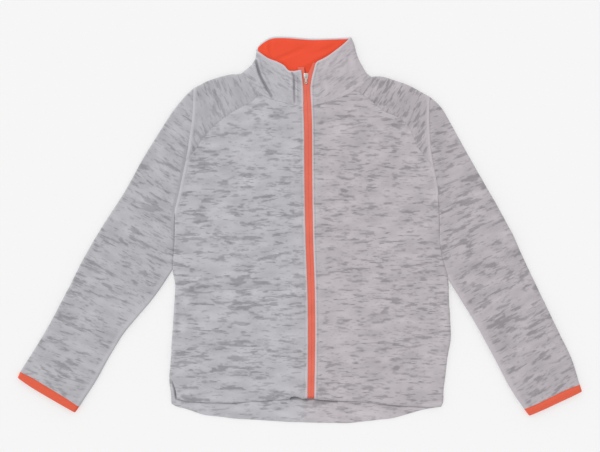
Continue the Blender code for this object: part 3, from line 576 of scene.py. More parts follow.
class Relief:
    """What the creases, seams and rumples add to the surface of a piece, by place in plan."""

    def __init__(self, sizes, creased=None, seams=(), seed=None):
        self.sizes = sizes
        rows = [Crease(*metres(row[:3]), row[3]) for row in CREASES.get(creased, ())]
        self.creases = [(Line(Curve(row.path), steps=10), row) for row in rows]
        self.seams = seams
        self.seed = seed

    def __call__(self, places):
        height = np.zeros(places.shape[:-1])
        if self.seed is not None:
            height += rumpled(places, self.seed) * self.sizes.rumple
        for line, row in self.creases:
            away, along = line.measure(places)
            share = np.clip(away / row.half_width, 0, 1)
            soft, sharp = (1 - share**2) ** 2, (1 - share) ** 2
            end = line.starts[-1]
            full = ease(along, -0.25 * end, 0.3 * end) * (1 - ease(along, 0.7 * end, 1.25 * end))
            height += row.height * self.sizes.crease * full * (soft + (sharp - soft) * row.sharp)
        for seam in self.seams:
            away, along = seam.line.measure(places)
            height -= seam.dip * hump(away, 0, seam.dip_width)
            height += seam.ridge * hump(away, seam.ridge_at, seam.ridge_width)
            height -= seam.groove * hump(away, seam.groove_at, GROOVE_WIDTH)
            turn = along * 2 * math.pi
            gather = np.sin(turn / GATHER_LENGTH + GATHER_SWAY * np.sin(turn / GATHER_SWAY_LENGTH))
            gather *= hump(away, 0, GATHER_WIDTH) * (1 - hump(away, 0, GATHER_START))
            height += seam.pucker * gather
        return height


def lying(sizes, creased=None):
    """The relief of the side that lies on the floor: it only ever lifts off it."""
    raised = Relief(sizes, creased)

    def relief(places):
        lift = rumpled(places, LOWER_SEED) * sizes.rumple
        return -LOWER_SHARE * (np.sqrt(lift**2 + 1e-8) - 1e-4) - raised(places)

    return relief


class Lay:
    """A stretch of cloth in plan, in the upper (1) or the lower (-1) layer.

    A fold at its start or end is a function of the share along, giving how far the edge turns down
    to the middle of the lay. Columns outside the knots draw together to make room for the folds.
    """

    def __init__(self, plan, layer, columns, knots=(1, 0), start_fold=None, end_fold=None, seam=False):
        self.plan = plan
        self.layer = layer
        self.columns = columns
        self.knots = knots
        self.start_fold = start_fold
        self.end_fold = end_fold
        self.keep = SEAM_GAP / 2 if seam else 0.0

    def turn(self, alongs, side, fold):
        """One folded edge, from the edge inwards: its places, height shares, facings and reach."""
        outer = self.plan(side, alongs)
        width = np.linalg.norm(self.plan(1, alongs) - self.plan(0, alongs), axis=-1)
        radius = rise(outer) / 2 * FOLD_SPREAD
        reach = radius / width
        inwards = unit(self.plan(np.abs(side - reach), alongs) - outer)
        ahead = self.plan(side, np.minimum(alongs + 0.01, 1))
        ahead -= self.plan(side, np.maximum(alongs - 0.01, 0))
        square = unit(np.stack((-ahead[:, 1], ahead[:, 0]), axis=-1))
        square *= np.sign((square * (self.plan(0.5, 0.5) - outer)).sum(axis=-1, keepdims=True))
        blend = ease(np.minimum(alongs, 1 - alongs), 0, FACING_BLEND)[:, None]
        facing = unit(inwards + (square - inwards) * blend)
        turned_over = fold(alongs)[:, None]
        drawn = (radius[:, None] * (1 - np.cos(FOLD_ANGLES)))[..., None]
        spots = outer[:, None] + inwards[:, None] * drawn
        shares = 1 - turned_over * (1 - np.sin(FOLD_ANGLES))
        aside = -facing[:, None] * (turned_over * np.cos(FOLD_ANGLES))[..., None]
        return spots, shares, np.concatenate([aside, self.layer * shares[..., None]], axis=-1), reach

    def grid(self, alongs):
        """Places in plan, height shares and facings, with one row for each share along."""
        start = self.turn(alongs, 0, self.start_fold) if self.start_fold else None
        end = self.turn(alongs, 1, self.end_fold) if self.end_fold else None
        first, last = self.knots
        across = np.tile(self.columns, (len(alongs), 1))
        if start:
            across += start[3][:, None] * np.clip(1 - self.columns / first, 0, 1)
        if end:
            across -= end[3][:, None] * np.clip((self.columns - last) / (1 - last), 0, 1)
        spots = self.plan(across, alongs[:, None])
        shares = np.ones(spots.shape[:2])
        facings = np.zeros((*shares.shape, 3))
        facings[..., 2] = self.layer
        parts = [(spots, shares, facings)]
        if start:
            parts.insert(0, start[:3])
        if end:
            parts.append([rows[:, ::-1] for rows in end[:3]])
        return [np.concatenate(rows, axis=1) for rows in zip(*parts)]


def whole_fold(alongs):
    return np.ones(len(alongs))


def flat(places):
    return np.zeros(places.shape[:-1])


def surface(lays, alongs, closed, reliefs):
    """The cloth's outside as rows of points, with its unit facings there and its normals."""
    points, faced, normals = [], [], []
    for number, lay in enumerate(lays):
        spots, shares, facings = lay.grid(alongs)
        relief = reliefs[lay.layer]
        middle = rise(spots) / 2
        height = middle + lay.layer * (lay.keep + (middle - lay.keep) * shares)
        step = 0.0005
        slopes = [relief(spots + way) - relief(spots - way) for way in ((step, 0), (0, step))]
        leant = facings.copy()
        leant[..., :2] -= np.stack(slopes, axis=-1) / (2 * step) * shares[..., None]
        based = np.concatenate([spots + ZIP_FOOT, height[..., None]], axis=-1)
        based += unit(facings) * (relief(spots) * shares)[..., None]
        skip = 1 if number and lay.start_fold else 0
        points.append(based[:, skip:])
        faced.append(unit(facings)[:, skip:])
        normals.append(unit(leant)[:, skip:])
    grids = [np.concatenate(parts, axis=1) for parts in (points, faced, normals)]
    return [grid[:, :-1] for grid in grids] if closed else grids


def drawn_in(rows, closed, distance):
    """Moves the first row of points away from its border, square to it, and crowds the next rows."""
    border = rows[0]
    if closed:
        tangent = unit(np.roll(border, -1, axis=0) - np.roll(border, 1, axis=0))
    else:
        tangent = unit(np.gradient(border, axis=0))
    inwards = rows[1] - border
    inwards -= (inwards * tangent).sum(axis=1, keepdims=True) * tangent
    inwards[:, 2] = 0
    away = np.linalg.norm(rows - border, axis=-1, keepdims=True)
    return rows + unit(inwards) * distance * np.clip(1 - away / (CROWD_OVER * distance), 0, 1)


def supported(rows):
    """Adds a row close inside the first and the last one, so that a border shades crisply."""
    first = rows[:1] + (rows[1:2] - rows[:1]) * SUPPORT
    last = rows[-1:] + (rows[-2:-1] - rows[-1:]) * SUPPORT
    return np.concatenate([rows[:1], first, rows[1:-1], last, rows[-1:]])


def outward(name, points, faces):
    """A smooth mesh with all its faces turned outwards."""
    mesh = bpy.data.meshes.new(name)
    mesh.from_pydata(points, [], faces)
    shaped = bmesh.new()
    shaped.from_mesh(mesh)
    bmesh.ops.recalc_face_normals(shaped, faces=shaped.faces)
    shaped.to_mesh(mesh)
    shaped.free()
    mesh.shade_smooth()
    return mesh


def cloth_mesh(name, lays, alongs, reliefs, thick, closed=False, below=0.0, sewn="", roll=None):
    """A thin closed wall with rounded borders. The sewn borders, of near, far, start and end, are blunt.

    A roll, as its width and height, is the far border turned over inwards.
    """
    grid, facings, normals = surface(lays, alongs, closed, reliefs)
    borders = "near", "far", "start", "end"
    near, far, start, end = [SEWN_NOSE if border in sewn else thick / 2 for border in borders]
    grid = drawn_in(grid, closed, near)
    grid = drawn_in(grid[::-1], closed, far)[::-1]
    grid, facings, normals = supported(grid), supported(facings), supported(normals)
    if not closed:
        grid, facings, normals = [rows.swapaxes(0, 1) for rows in (grid, facings, normals)]
        grid = drawn_in(grid, False, start)
        grid = drawn_in(grid[::-1], False, end)[::-1]
        grid, facings, normals = [supported(rows).swapaxes(0, 1) for rows in (grid, facings, normals)]
    outer = grid - facings * below
    inner = outer - normals * thick
    if roll:
        away = np.linalg.norm(outer - outer[-1:], axis=-1, keepdims=True)
        inner -= normals * roll[1] * np.sqrt(np.clip(1 - (2 * away / roll[0] - 1) ** 2, 0, 1))
    rows, columns = outer.shape[:2]
    number = np.arange(rows * columns).reshape(rows, columns)
    wide = np.append(number, number[:, :1], axis=1) if closed else number
    corners = wide[:-1, :-1], wide[:-1, 1:], wide[1:, 1:], wide[1:, :-1]
    quads = np.stack(corners, axis=-1).reshape(-1, 4)
    if closed:
        loops = [(number[0], number[1], near), (number[-1], number[-2], far)]
    else:
        rim = np.concatenate([number[0, :-1], number[:-1, -1], number[-1, :0:-1], number[:0:-1, 0]])
        held = np.clip(np.stack(np.divmod(rim, columns)), 1, [[rows - 2], [columns - 2]])
        noses = np.repeat((near, end, far, start), (columns - 1, rows - 1, columns - 1, rows - 1))
        loops = [(rim, number[held[0], held[1]], noses[:, None])]
    points = [outer.reshape(-1, 3), inner.reshape(-1, 3)]
    faces = [quads, quads[:, ::-1] + rows * columns]
    count = 2 * rows * columns
    for border, beside, nose in loops:
        rings = [border]
        for ring in rim_rings(points[0], points[1], border, beside, thick / 2, nose):
            points.append(ring)
            rings.append(np.arange(count, count + len(ring)))
            count += len(ring)
        rings.append(border + rows * columns)
        for upper, lower in zip(rings[:-1], rings[1:]):
            ends = np.roll(upper, -1), np.roll(lower, -1)
            faces.append(np.stack([upper, ends[0], ends[1], lower], axis=-1))
    return outward(name, np.concatenate(points).tolist(), np.concatenate(faces).tolist())


def rim_rings(outer, inner, border, beside, radius, nose):
    """Rings of points that round a wall's border off, from its outside to its inside."""
    middle = (outer[border] + inner[border]) / 2
    up = unit(outer[border] - inner[border])
    outwards = unit(np.cross(np.roll(middle, -1, axis=0) - np.roll(middle, 1, axis=0), up))
    outwards *= np.sign(((middle - (outer[beside] + inner[beside]) / 2) * outwards).sum())
    turns = (RIM_TURN, 0, -RIM_TURN)
    return [middle + outwards * nose * math.cos(turn) + up * radius * math.sin(turn) for turn in turns]


Grain = collections.namedtuple("Grain", "turn bend pivot depth fade shade")

# Which way the cloth's streaks run: degrees from across, how much that changes on the way down,
# round which place, how deep in the pattern the piece is cut, how far its streaks are faded, and how
# much darker it is.
GRAINS = {
    "back_panel": Grain(0, 0, (0, 0.30), 1.70, 0.0, -0.06),
    "front_right": Grain(0, 0, (0, 0.30), 0.00, 0.0, 0.03),
    "front_left": Grain(0, 0, (0, 0.30), 0.41, 0.0, 0.04),
    "yoke_right": Grain(-66, 0, (-0.17, 0.54), 0.83, 0.30, 0.15),
    "yoke_left": Grain(58, 0, (0.17, 0.54), 1.21, 0.0, 0.12),
    "sleeve_right": Grain(-26, 0.5, (-0.37, 0.27), 2.10, 0.1, 0.10),
    "sleeve_left": Grain(25, 0.5, (0.37, 0.27), 2.60, 0.0, 0.12),
    "collar_outer": Grain(34, 0, (0, 0.60), 3.30, 0.30, -0.02),
}
COLLAR_TURN_OVER = 0.012


def read_points(mesh, what):
    """What each of the mesh's points has of that name, in rows of three."""
    values = np.zeros(len(mesh.vertices) * 3, np.float32)
    mesh.vertices.foreach_get(what, values)
    return values.reshape(-1, 3)


def write_points(mesh, name, values):
    """Gives each of the mesh's points a vector of that name."""
    named = mesh.attributes.new(name, "FLOAT_VECTOR", "POINT")
    named.data.foreach_set("vector", values.astype(np.float32).ravel())


def add_grain(mesh, grain, mirrored, fading_and_painted_light):
    """Gives the mesh its place in the knit, in metres along the streaks, across them and deeper.

    It also gets how far the streaks fade and how much darker it is. Close beside the given lines on the
    upper side the streaks fade, and the colour is painted paler as a highlight where raised edges and
    folds catch the light, and painted darker, as a fold's shade, where a line's paleness is negative.
    """
    points = read_points(mesh, "co")
    x, y = (points[:, :2] - ZIP_FOOT - grain.pivot).T
    turn = math.radians(grain.turn) * (np.clip(x / COLLAR_TURN_OVER, -1, 1) if mirrored else 1)
    along = x * np.cos(turn) + y * np.sin(turn)
    aside = y * np.cos(turn) - x * np.sin(turn)
    placed = [along, aside + grain.bend * along * aside, points[:, 2] + grain.depth]
    write_points(mesh, "grain", np.stack(placed, axis=-1))
    wear_and_painted_light = np.full((len(points), 3), (grain.fade, grain.shade, 0))
    upper = ease(read_points(mesh, "normal")[:, 2], -0.5, 0.0)
    # Painted light: beside each line the streaks fade and the colour is painted paler as a highlight, and
    # painted darker as a fold's shade where the paleness is negative.
    for line, over, pale in fading_and_painted_light:
        away = line.measure(points[:, :2] - ZIP_FOOT)[0]
        close = upper * (1 - ease(away, FADE_WHOLE * over, over))
        wear_and_painted_light[:, 0] += (FADED_STREAKS - wear_and_painted_light[:, 0]) * close
        wear_and_painted_light[:, 1] += (-pale - wear_and_painted_light[:, 1]) * close
    write_points(mesh, "wear_and_painted_light", wear_and_painted_light)


class Value:
    """A socket of a finish. Adding, taking away or multiplying it adds the nodes that do so."""

    def __init__(self, finish, socket):
        self.finish = finish
        self.socket = socket

    def maths(self, operation, first, second):
        return self.finish.node("ShaderNodeMath", {"operation": operation}, {0: first, 1: second})

    def __add__(self, other):
        return self.maths("ADD", self, other)

    def __sub__(self, other):
        return self.maths("SUBTRACT", self, other)

    def __rsub__(self, other):
        return self.maths("SUBTRACT", other, self)

    def __mul__(self, other):
        return self.maths("MULTIPLY", self, other)

    __radd__ = __add__
    __rmul__ = __mul__


class Finish:
    """A material in the making: its nodes, and the ways to add them."""

    def __init__(self, name, **plain):
        self.material = bpy.data.materials.new(name)
        self.material.use_nodes = True
        self.tree = self.material.node_tree
        self.shader = self.tree.nodes["Principled BSDF"]
        for socket, value in plain.items():
            self.shader.inputs[socket.replace("_", " ")].default_value = value

    def feed(self, socket, value):
        if isinstance(value, Value):
            self.tree.links.new(value.socket, socket)
        else:
            socket.default_value = value

    def node(self, kind, settings, inputs, output=0):
        """Adds a node: its settings first, then the values or links of its sockets."""
        made = self.tree.nodes.new(kind)
        for name, value in settings.items():
            setattr(made, name, value)
        for name, value in inputs.items():
            self.feed(made.inputs[name], value)
        return Value(self, made.outputs[output])

    def attribute(self, name):
        return self.node("ShaderNodeAttribute", {"attribute_name": name}, {}, "Vector")

    def part_of(self, vector, axis):
        return self.node("ShaderNodeSeparateXYZ", {}, {"Vector": vector}, axis)

    def place(self):
        return self.node("ShaderNodeTexCoord", {}, {}, "Object")

    def vector(self, operation, first, second):
        return self.node("ShaderNodeVectorMath", {"operation": operation}, {0: first, 1: second})

    def noise(self, where, scales, detail=0.0, shift=(0, 0, 0)):
        """Soft noise, with its cells counted per metre along each axis, or one count for all three."""
        scales = scales if isinstance(scales, tuple) else (scales,) * 3
        stretched = self.vector("ADD", self.vector("MULTIPLY", where, scales), shift)
        inputs = {"Vector": stretched, "Scale": 1.0, "Detail": detail, "Roughness": 0.5}
        return self.node("ShaderNodeTexNoise", {}, inputs, "Fac")

    def step(self, value, low, high):
        inputs = {"Value": value, "From Min": low, "From Max": high}
        return self.node("ShaderNodeMapRange", {"interpolation_type": "SMOOTHSTEP"}, inputs)

    def mix(self, share, first, second):
        return self.node("ShaderNodeMix", {"data_type": "RGBA"}, {0: share, 6: first, 7: second}, 2)

    def toned(self, share, colour, depth):
        """A colour, going over by a share into the same one at a lower depth."""
        return self.mix(share, rgba(colour), rgba([part * depth for part in colour]))

    def ends(self, tone, roughness, relief=None):
        """The material, with its colour, its roughness and its relief in millimetres."""
        self.feed(self.shader.inputs["Base Color"], tone)
        self.feed(self.shader.inputs["Roughness"], roughness)
        if relief:
            inputs = {"Strength": 1.0, "Distance": 0.001, "Height": relief}
            self.feed(self.shader.inputs["Normal"], self.node("ShaderNodeBump", {}, inputs))
        return self.material


def rgba(colour):
    return (*colour, 1.0)


def grey_fleece(looks):
    """Soft brushed slub knit: pale, with short darker dashes that keep to its courses."""
    finish = Finish("grey_fleece", Specular_IOR_Level=0.15, Sheen_Weight=0.6, Sheen_Roughness=0.5)
    grain, place = finish.attribute("grain"), finish.place()
    wander = finish.noise(grain, (18, 30, 30), 1.0) - 0.5
    along, aside, deep = [finish.part_of(grain, axis) for axis in "XYZ"]
    settings = {"operation": "SNAP"}
    inputs = {0: aside + wander * looks.streak_wander, 1: looks.course}
    course = finish.node("ShaderNodeMath", settings, inputs)
    laid = finish.node("ShaderNodeCombineXYZ", {}, {"X": along, "Y": course, "Z": deep})
    long, thick = 1 / looks.streak_length, 1 / looks.streak_thickness
    clumps = finish.noise(grain, (20, 34, 34), 1.0, (3.1, 1.7, 0.4)) - 0.5
    first = finish.noise(laid, (long, thick, 60), 1.5)
    second = finish.noise(laid, (1.9 * long, 1.9 * thick, 60), 1.0, (5.3, 2.9, 1.1))
    streaks = finish.step(first + clumps * 0.26, 0.535, 0.655)
    ticks = finish.step(second + clumps * 0.18, 0.57, 0.68)
    haze = finish.noise(grain, (0.6 * long, 0.35 * thick, 60), 1.5, (1.3, 7.7, 2.2)) - 0.5
    yarn = finish.noise(grain, (220, 1400, 1400), 1.0) - 0.5
    pile = finish.noise(place, 1500, 2.0)
    # The per-point vector's X fades the streaks and its Y darkens the piece; its Y also carries the
    # painted shade of folds, the vent and the front hem, and the painted highlights along raised edges
    # and folds.
    wear_and_painted_light = finish.attribute("wear_and_painted_light")
    kept = 1 - finish.part_of(wear_and_painted_light, "X")
    shade = finish.part_of(wear_and_painted_light, "Y") + 0.29
    dark = (streaks * 0.50 + ticks * 0.33 + haze * 0.8) * kept + yarn * 0.3 + shade
    leftwards = finish.step(finish.part_of(place, "X"), -0.03, 0.05)
    ground = finish.mix(leftwards, rgba(looks.fleece_cool), rgba(looks.fleece_warm))
    tone = finish.mix(dark, ground, finish.vector("MULTIPLY", ground, [looks.streak_shade] * 3))
    return finish.ends(tone, 0.92 + pile * 0.06, pile * 0.16 + yarn * 0.10 - streaks * 0.06)


def orange_fleece(looks):
    """The smooth knit face of the same cloth inside the collar."""
    finish = Finish("orange_fleece", Specular_IOR_Level=0.2, Sheen_Weight=0.1, Sheen_Roughness=0.5)
    place = finish.place()
    inputs = {"Vector": place, "Scale": 160.0, "Distortion": 1.5, "Detail": 1.0, "Detail Scale": 60.0}
    wales = finish.node("ShaderNodeTexWave", {"bands_direction": "X"}, inputs, "Fac")
    pile = finish.noise(place, 1300, 1.0)
    share = finish.noise(place, 45, 2.0) * 0.30 + wales * 0.12 + pile * 0.15 - 0.1
    tone = finish.toned(share, looks.facing, 0.62)
    return finish.ends(tone, 0.80 + pile * 0.1, wales * 0.06 + pile * 0.08)


def orange_binding(looks):
    """Ribbed knit binding."""
    finish = Finish("orange_binding", Specular_IOR_Level=0.2, Sheen_Weight=0.15, Sheen_Roughness=0.5)
    place = finish.place()
    wear_and_painted_light = finish.noise(place, 260, 2.0)
    pile = finish.noise(place, 1400, 1.0)
    tone = finish.toned(wear_and_painted_light * 0.5 + pile * 0.2 - 0.1, looks.binding, 0.6)
    return finish.ends(tone, 0.8 + wear_and_painted_light * 0.1, wear_and_painted_light * 0.12 + pile * 0.1)


def orange_zip(looks):
    """Woven twill tape."""
    finish = Finish("orange_zip", Specular_IOR_Level=0.35)
    place = finish.place()
    slant = finish.node("ShaderNodeMapping", {}, {"Vector": place, "Rotation": (0, 0, math.radians(35))})
    inputs = {"Vector": slant, "Scale": 330.0}
    twill = finish.node("ShaderNodeTexWave", {"bands_direction": "X"}, inputs, "Fac")
    blotch = finish.noise(place, 120, 2.0)
    tone = finish.toned(twill * 0.22 + blotch * 0.30 - 0.1, looks.tape, 0.6)
    return finish.ends(tone, 0.55 + blotch * 0.2, twill * 0.05)


def orange_plastic(looks):
    """Moulded plastic, with the fine grain of its mould."""
    finish = Finish("orange_plastic", Specular_IOR_Level=0.5)
    grain = finish.noise(finish.place(), 2600, 1.0)
    return finish.ends(finish.toned(grain * 0.3, looks.plastic, 0.75), 0.34 + grain * 0.14, grain * 0.02)


def zip_metal(looks):
    """Plated metal, lightly scuffed."""
    finish = Finish("zip_metal", Metallic=1.0)
    place = finish.place()
    scuffs = finish.step(finish.noise(place, (420, 2400, 900), 2.0), 0.52, 0.70)
    cloud = finish.noise(place, 600, 2.0)
    tone = finish.toned(scuffs * 0.5 + cloud * 0.2, looks.metal, 0.55)
    return finish.ends(tone, 0.22 + cloud * 0.16 + scuffs * 0.12, scuffs * 0.01)


def grey_thread(looks):
    """Spun thread, twisted from two plies."""
    finish = Finish("grey_thread", Specular_IOR_Level=0.3, Sheen_Weight=0.2)
    ply = finish.noise(finish.place(), 2500, 1.0)
    return finish.ends(finish.toned(ply * 0.5, looks.thread, 0.7), 0.7 + ply * 0.1, ply * 0.03)


def pale_floor(looks):
    """A matt pale board."""
    finish = Finish("pale_floor", Specular_IOR_Level=0.1)
    mottle = finish.noise(finish.place(), 9, 2.0)
    return finish.ends(finish.toned(mottle * 0.3, looks.floor, 0.985), 0.9 + mottle * 0.05)


FINISHES = {
    maker.__name__: maker
    for maker in (
        grey_fleece,
        orange_fleece,
        orange_binding,
        orange_zip,
        orange_plastic,
        zip_metal,
        grey_thread,
        pale_floor,
    )
}
made_finishes = {}


def finished(name):
    """The finish of that name, made the first time it is asked for."""
    if name not in made_finishes:
        made_finishes[name] = FINISHES[name](bpy.context.scene.jacket_colours)
    return made_finishes[name]


def add_object(name, data):
    made = bpy.data.objects.new(name, data)
    bpy.context.scene.collection.objects.link(made)
    return made


def put(name, mesh, finish, body="jacket", nodes=()):
    """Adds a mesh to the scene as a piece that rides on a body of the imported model."""
    mesh.materials.append(finished(finish))
    piece = add_object(name, mesh)
    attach(piece, body)
    if nodes:
        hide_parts(*nodes)
    return piece


def put_cloth(node, finish, fading_and_painted_light, *cloth, **borders):
    """Adds a piece of cloth, made as cloth_mesh says.

    Grey cloth has its streaks fade near lines, given with how far from them and how much paler it is
    painted there as a highlight, and gets the painted shade along its folds and the painted highlights
    listed above.
    """
    mesh = cloth_mesh(node, *cloth, **borders)
    if node in GRAINS:
        folds = [(*metres(row[:2]), row[2]) for row in SHADES.get(node, ())]
        shaded = [(Line(Curve(path)), over, -dark) for path, over, dark in folds]
        add_grain(mesh, GRAINS[node], node == "collar_outer", [*fading_and_painted_light, *shaded])
    piece = put(f"{node}_cloth", mesh, finish, nodes=(node,))


class Half:
    """The named edges of one half of the jacket, worked out from its outlines."""

    def __init__(self, side):
        self.side = side
        self.away = -1 if side == "right" else 1
        self.joins = YOKE_JOINS[side]
        self.places = {name.split(",")[0]: metres(rows) for name, rows in OUTLINES[side].items()}
        for name, rows in self.places.items():
            setattr(self, name, Curve(rows))
        armhole_join = tuple(self.armhole(self.joins["armhole"]))
        front_join = tuple(self.neck(self.joins["neck"]))
        back_join = tuple(Curve(BACK_NECK)(self.joins["back_neck"]))
        self.yoke_seam = Curve((front_join, *self.places["yoke_seam"], armhole_join))
        self.back_yoke_seam = Curve((back_join, *self.places["back_yoke_seam"], armhole_join))
        aside = self.away * ZIP_SHOWS / 2
        self.zip_edge = Curve([(x + aside, y) for x, y in ZIP_LINE])

    def side_fold(self, alongs):
        """How far the side edge turns: open in the vent and above the armpit."""
        at_hem = HEM_FOLDS[self.side]
        turned_over = at_hem + (1 - at_hem) * ease(alongs, 0, PATCH_VENT)
        return turned_over * (1 - ease(alongs, *SIDE_OPENS_OVER))

    def side_edge(self, vent):
        """The whole side of the front or the back: its vent, the side and the armhole to the yoke."""
        lower = joined(vent, self.side_seam, PATCH_VENT / PATCH_PIT)
        return joined(lower, self.armhole.part(0, self.joins["armhole"]), PATCH_PIT)

    def seams(self, piece):
        """How the cloth of a piece dips, stands up and is stitched down beside its seams."""
        sewn = []
        for name, measures in SEAMS[piece].items():
            line = Line(getattr(self, name), ZIP_EDGE_STEPS if name == "zip_edge" else 32)
            sewn.append(Seam(line, *metres(measures)))
        return sewn


HALVES = (Half("right"), Half("left"))
HEM_LINE = Line(Curve(HALVES[0].places["front_hem"][::-1] + HALVES[1].places["front_hem"]), 96)


def hem_bulge(places):
    """How far the front hem bulges off the back, most at the zip, and curls down again to its edge."""
    near_hem = 1 - ease(places[..., 1], HEM_CURLS_OVER, HEM_LIFTS_UP_TO)
    near_zip = 1 - ease(np.abs(places[..., 0]), *HEM_LIFTS_BESIDE)
    curl = np.clip(HEM_LINE.measure(places)[0] / HEM_CURLS_OVER, 0, 1)
    return near_hem * (HEM_LIFT_FAR + (1 - HEM_LIFT_FAR) * near_zip) * curl * (2 - curl)


def body_relief(sizes, half, piece):
    """The relief of the body, with the bulge of its front hem."""
    body = Relief(sizes, "body", half.seams(piece), UPPER_SEED)
    return lambda places: body(places) + sizes.hem_lift * hem_bulge(places)


def front_plan(half):
    top = joined(half.neck.part(0, half.joins["neck"]), half.yoke_seam, PATCH_NECK)
    edge = half.zip_edge.part(0, half.zip_edge.share_at(half.neck(0)[1]))
    hem = Curve((tuple(edge(0)), *half.places["front_hem"][1:]))
    lean = top(0) - edge(1)

    def beside_zip(along):
        return edge(along) + lean * np.asarray(along, float)[..., None]

    return patch(beside_zip, half.side_edge(half.front_vent), hem, top)


def tube_lays(plan, columns):
    """The upper layer out and the lower layer back, joined round both folds."""
    folds = {"start_fold": whole_fold, "end_fold": whole_fold}
    return [Lay(plan, 1, columns, **folds), Lay(other_way(plan), -1, columns, **folds)]


def sleeve_plan(half):
    notch = half.side_seam.share_at(half.places["sleeve_inner"][0][1])

    def tucked(along):
        along = np.asarray(along, float)
        gap = TUCK_GAP * (TUCK_START + (1 - TUCK_START) * ease(along, 0, TUCK_WHOLE))
        return half.side_seam(1 - (1 - notch) * along) + np.stack([half.away * gap, 0 * gap], axis=-1)

    below_notch = Curve((tuple(tucked(1)), *half.places["sleeve_inner"][1:]))
    inner = joined(tucked, below_notch, SLEEVE_NOTCH)
    return patch(inner, half.sleeve_outer, half.armhole, half.cuff, SLEEVE_LEAN)


def collar_relief(sizes):
    seams = [seam for half in HALVES for seam in half.seams("collar")]
    return Relief(sizes, "collar", seams, UPPER_SEED)


def collar_lays(columns, start=0.0):
    """The stand collar as three stretches: right front, back and left front, joined at two folds."""
    fronts = [patch(half.collar_edge, half.collar_fold, half.neck, half.collar_top) for half in HALVES]
    folds = [half.collar_fold for half in HALVES]
    back = patch(*folds, Curve(BACK_NECK), Curve(BACK_COLLAR_TOP))
    columns = start + (1 - start) * columns
    return [
        Lay(fronts[0], 1, columns, (1, start), end_fold=whole_fold),
        Lay(back, -1, np.linspace(0, 1, 97), start_fold=whole_fold, end_fold=whole_fold),
        Lay(other_way(fronts[1]), 1, 1 - columns[::-1], (1 - start, 0), start_fold=whole_fold),
    ]


def stitched(name, paths, sizes):
    """Rows of single stitches along paths, each a short bead of thread that dives into the cloth."""
    points, faces = [], []
    turns = np.linspace(0, 2 * math.pi, STITCH_SIDES, endpoint=False)
    around = range(STITCH_SIDES)
    pitch, thick = sizes.stitch_pitch, sizes.thread / 2
    for path in paths:
        steps = np.linalg.norm(np.diff(path, axis=0), axis=1)
        lengths = np.concatenate([[0], np.cumsum(steps)])
        for middle in np.arange(pitch, lengths[-1] - pitch / 2, pitch):
            reach = middle + STITCH_ALONG * sizes.stitch_length / 2
            spots = np.stack([np.interp(reach, lengths, path[:, i]) for i in range(3)], axis=-1)
            spots[:, 2] += STITCH_HIGH * thick
            side = unit(np.cross(spots[-1] - spots[0], (0, 0, 1)))
            up = unit(np.cross(side, spots[-1] - spots[0]))
            first = len(points)
            for spot, wide in zip(spots, STITCH_THICK):
                for turn in turns:
                    way = side * math.cos(turn) + up * math.sin(turn)
                    points.append(tuple(spot + thick * wide * way))
            last = len(points) - STITCH_SIDES
            for ring in range(first, last, STITCH_SIDES):
                for a, b in zip(around, (*around[1:], 0)):
                    faces.append((ring + a, ring + b, ring + b + STITCH_SIDES, ring + a + STITCH_SIDES))
            faces.append(tuple(first + a for a in reversed(around)))
            faces.append(tuple(last + a for a in around))
    put(name, outward(name, points, faces), "grey_thread")


def beside(edge, aside, start=0.0, end=1.0, steps=160):
    """A path in plan that keeps its distance from an edge, to the left of the way it runs."""
    shares = np.linspace(start, end, steps)
    places = edge(shares)
    run = unit(np.gradient(places, axis=0))
    return places + np.stack([-run[:, 1], run[:, 0]], axis=-1) * aside


def on_top(places, relief):
    """Places in plan lifted onto the upper layer."""
    height = rise(places) + relief(places)
    return np.concatenate([places + ZIP_FOOT, height[..., None]], axis=-1)


def plate(outlines, thick, bevel, place=(0, 0, 0), upright=False):
    """A flat plate with eased edges, from an outline and the holes in it."""
    drawn = bpy.data.curves.new("plate", "CURVE")
    drawn.dimensions = "2D"
    drawn.fill_mode = "BOTH"
    drawn.extrude = thick / 2 - bevel
    drawn.bevel_depth = bevel
    drawn.bevel_resolution = 2
    drawn.offset = -bevel
    for outline in outlines:
        spline = drawn.splines.new("POLY")
        spline.points.add(len(outline) - 1)
        for point, (across, up) in zip(spline.points, outline):
            point.co = (across, up, 0, 1)
        spline.use_cyclic_u = True
    holder = add_object("plate", drawn)
    mesh = bpy.data.meshes.new_from_object(holder.evaluated_get(bpy.context.evaluated_depsgraph_get()))
    bpy.data.objects.remove(holder)
    bpy.data.curves.remove(drawn)
    for vertex in mesh.vertices:
        x, y, z = vertex.co
        vertex.co = Vector((z, x, y) if upright else (x, y, z)) + Vector(place)
    return mesh


def combined(name, meshes):
    """One mesh from several, with edges kept crisp where they turn sharply."""
    shaped = bmesh.new()
    for mesh in meshes:
        shaped.from_mesh(mesh)
        bpy.data.meshes.remove(mesh)
    bmesh.ops.remove_doubles(shaped, verts=shaped.verts, dist=1e-6)
    bmesh.ops.recalc_face_normals(shaped, faces=shaped.faces)
    made = bpy.data.meshes.new(name)
    shaped.to_mesh(made)
    shaped.free()
    made.shade_smooth()
    made.set_sharp_from_angle(angle=math.radians(35))
    return made


def rounded_box(wide, long, corner, middle=(0, 0), steps=4):
    """The outline of a box with rounded corners."""
    outline = []
    for number, (x, y) in enumerate(((1, 1), (-1, 1), (-1, -1), (1, -1))):
        for step in range(steps + 1):
            turn = (number + step / steps) * math.pi / 2
            across = middle[0] + x * (wide / 2 - corner) + corner * math.cos(turn)
            up = middle[1] + y * (long / 2 - corner) + corner * math.sin(turn)
            outline.append((across, up))
    return outline


def mirrored(outline):
    """The other side of an outline, going on from where it ends."""
    return [(-across, up) for across, up in reversed(outline)]


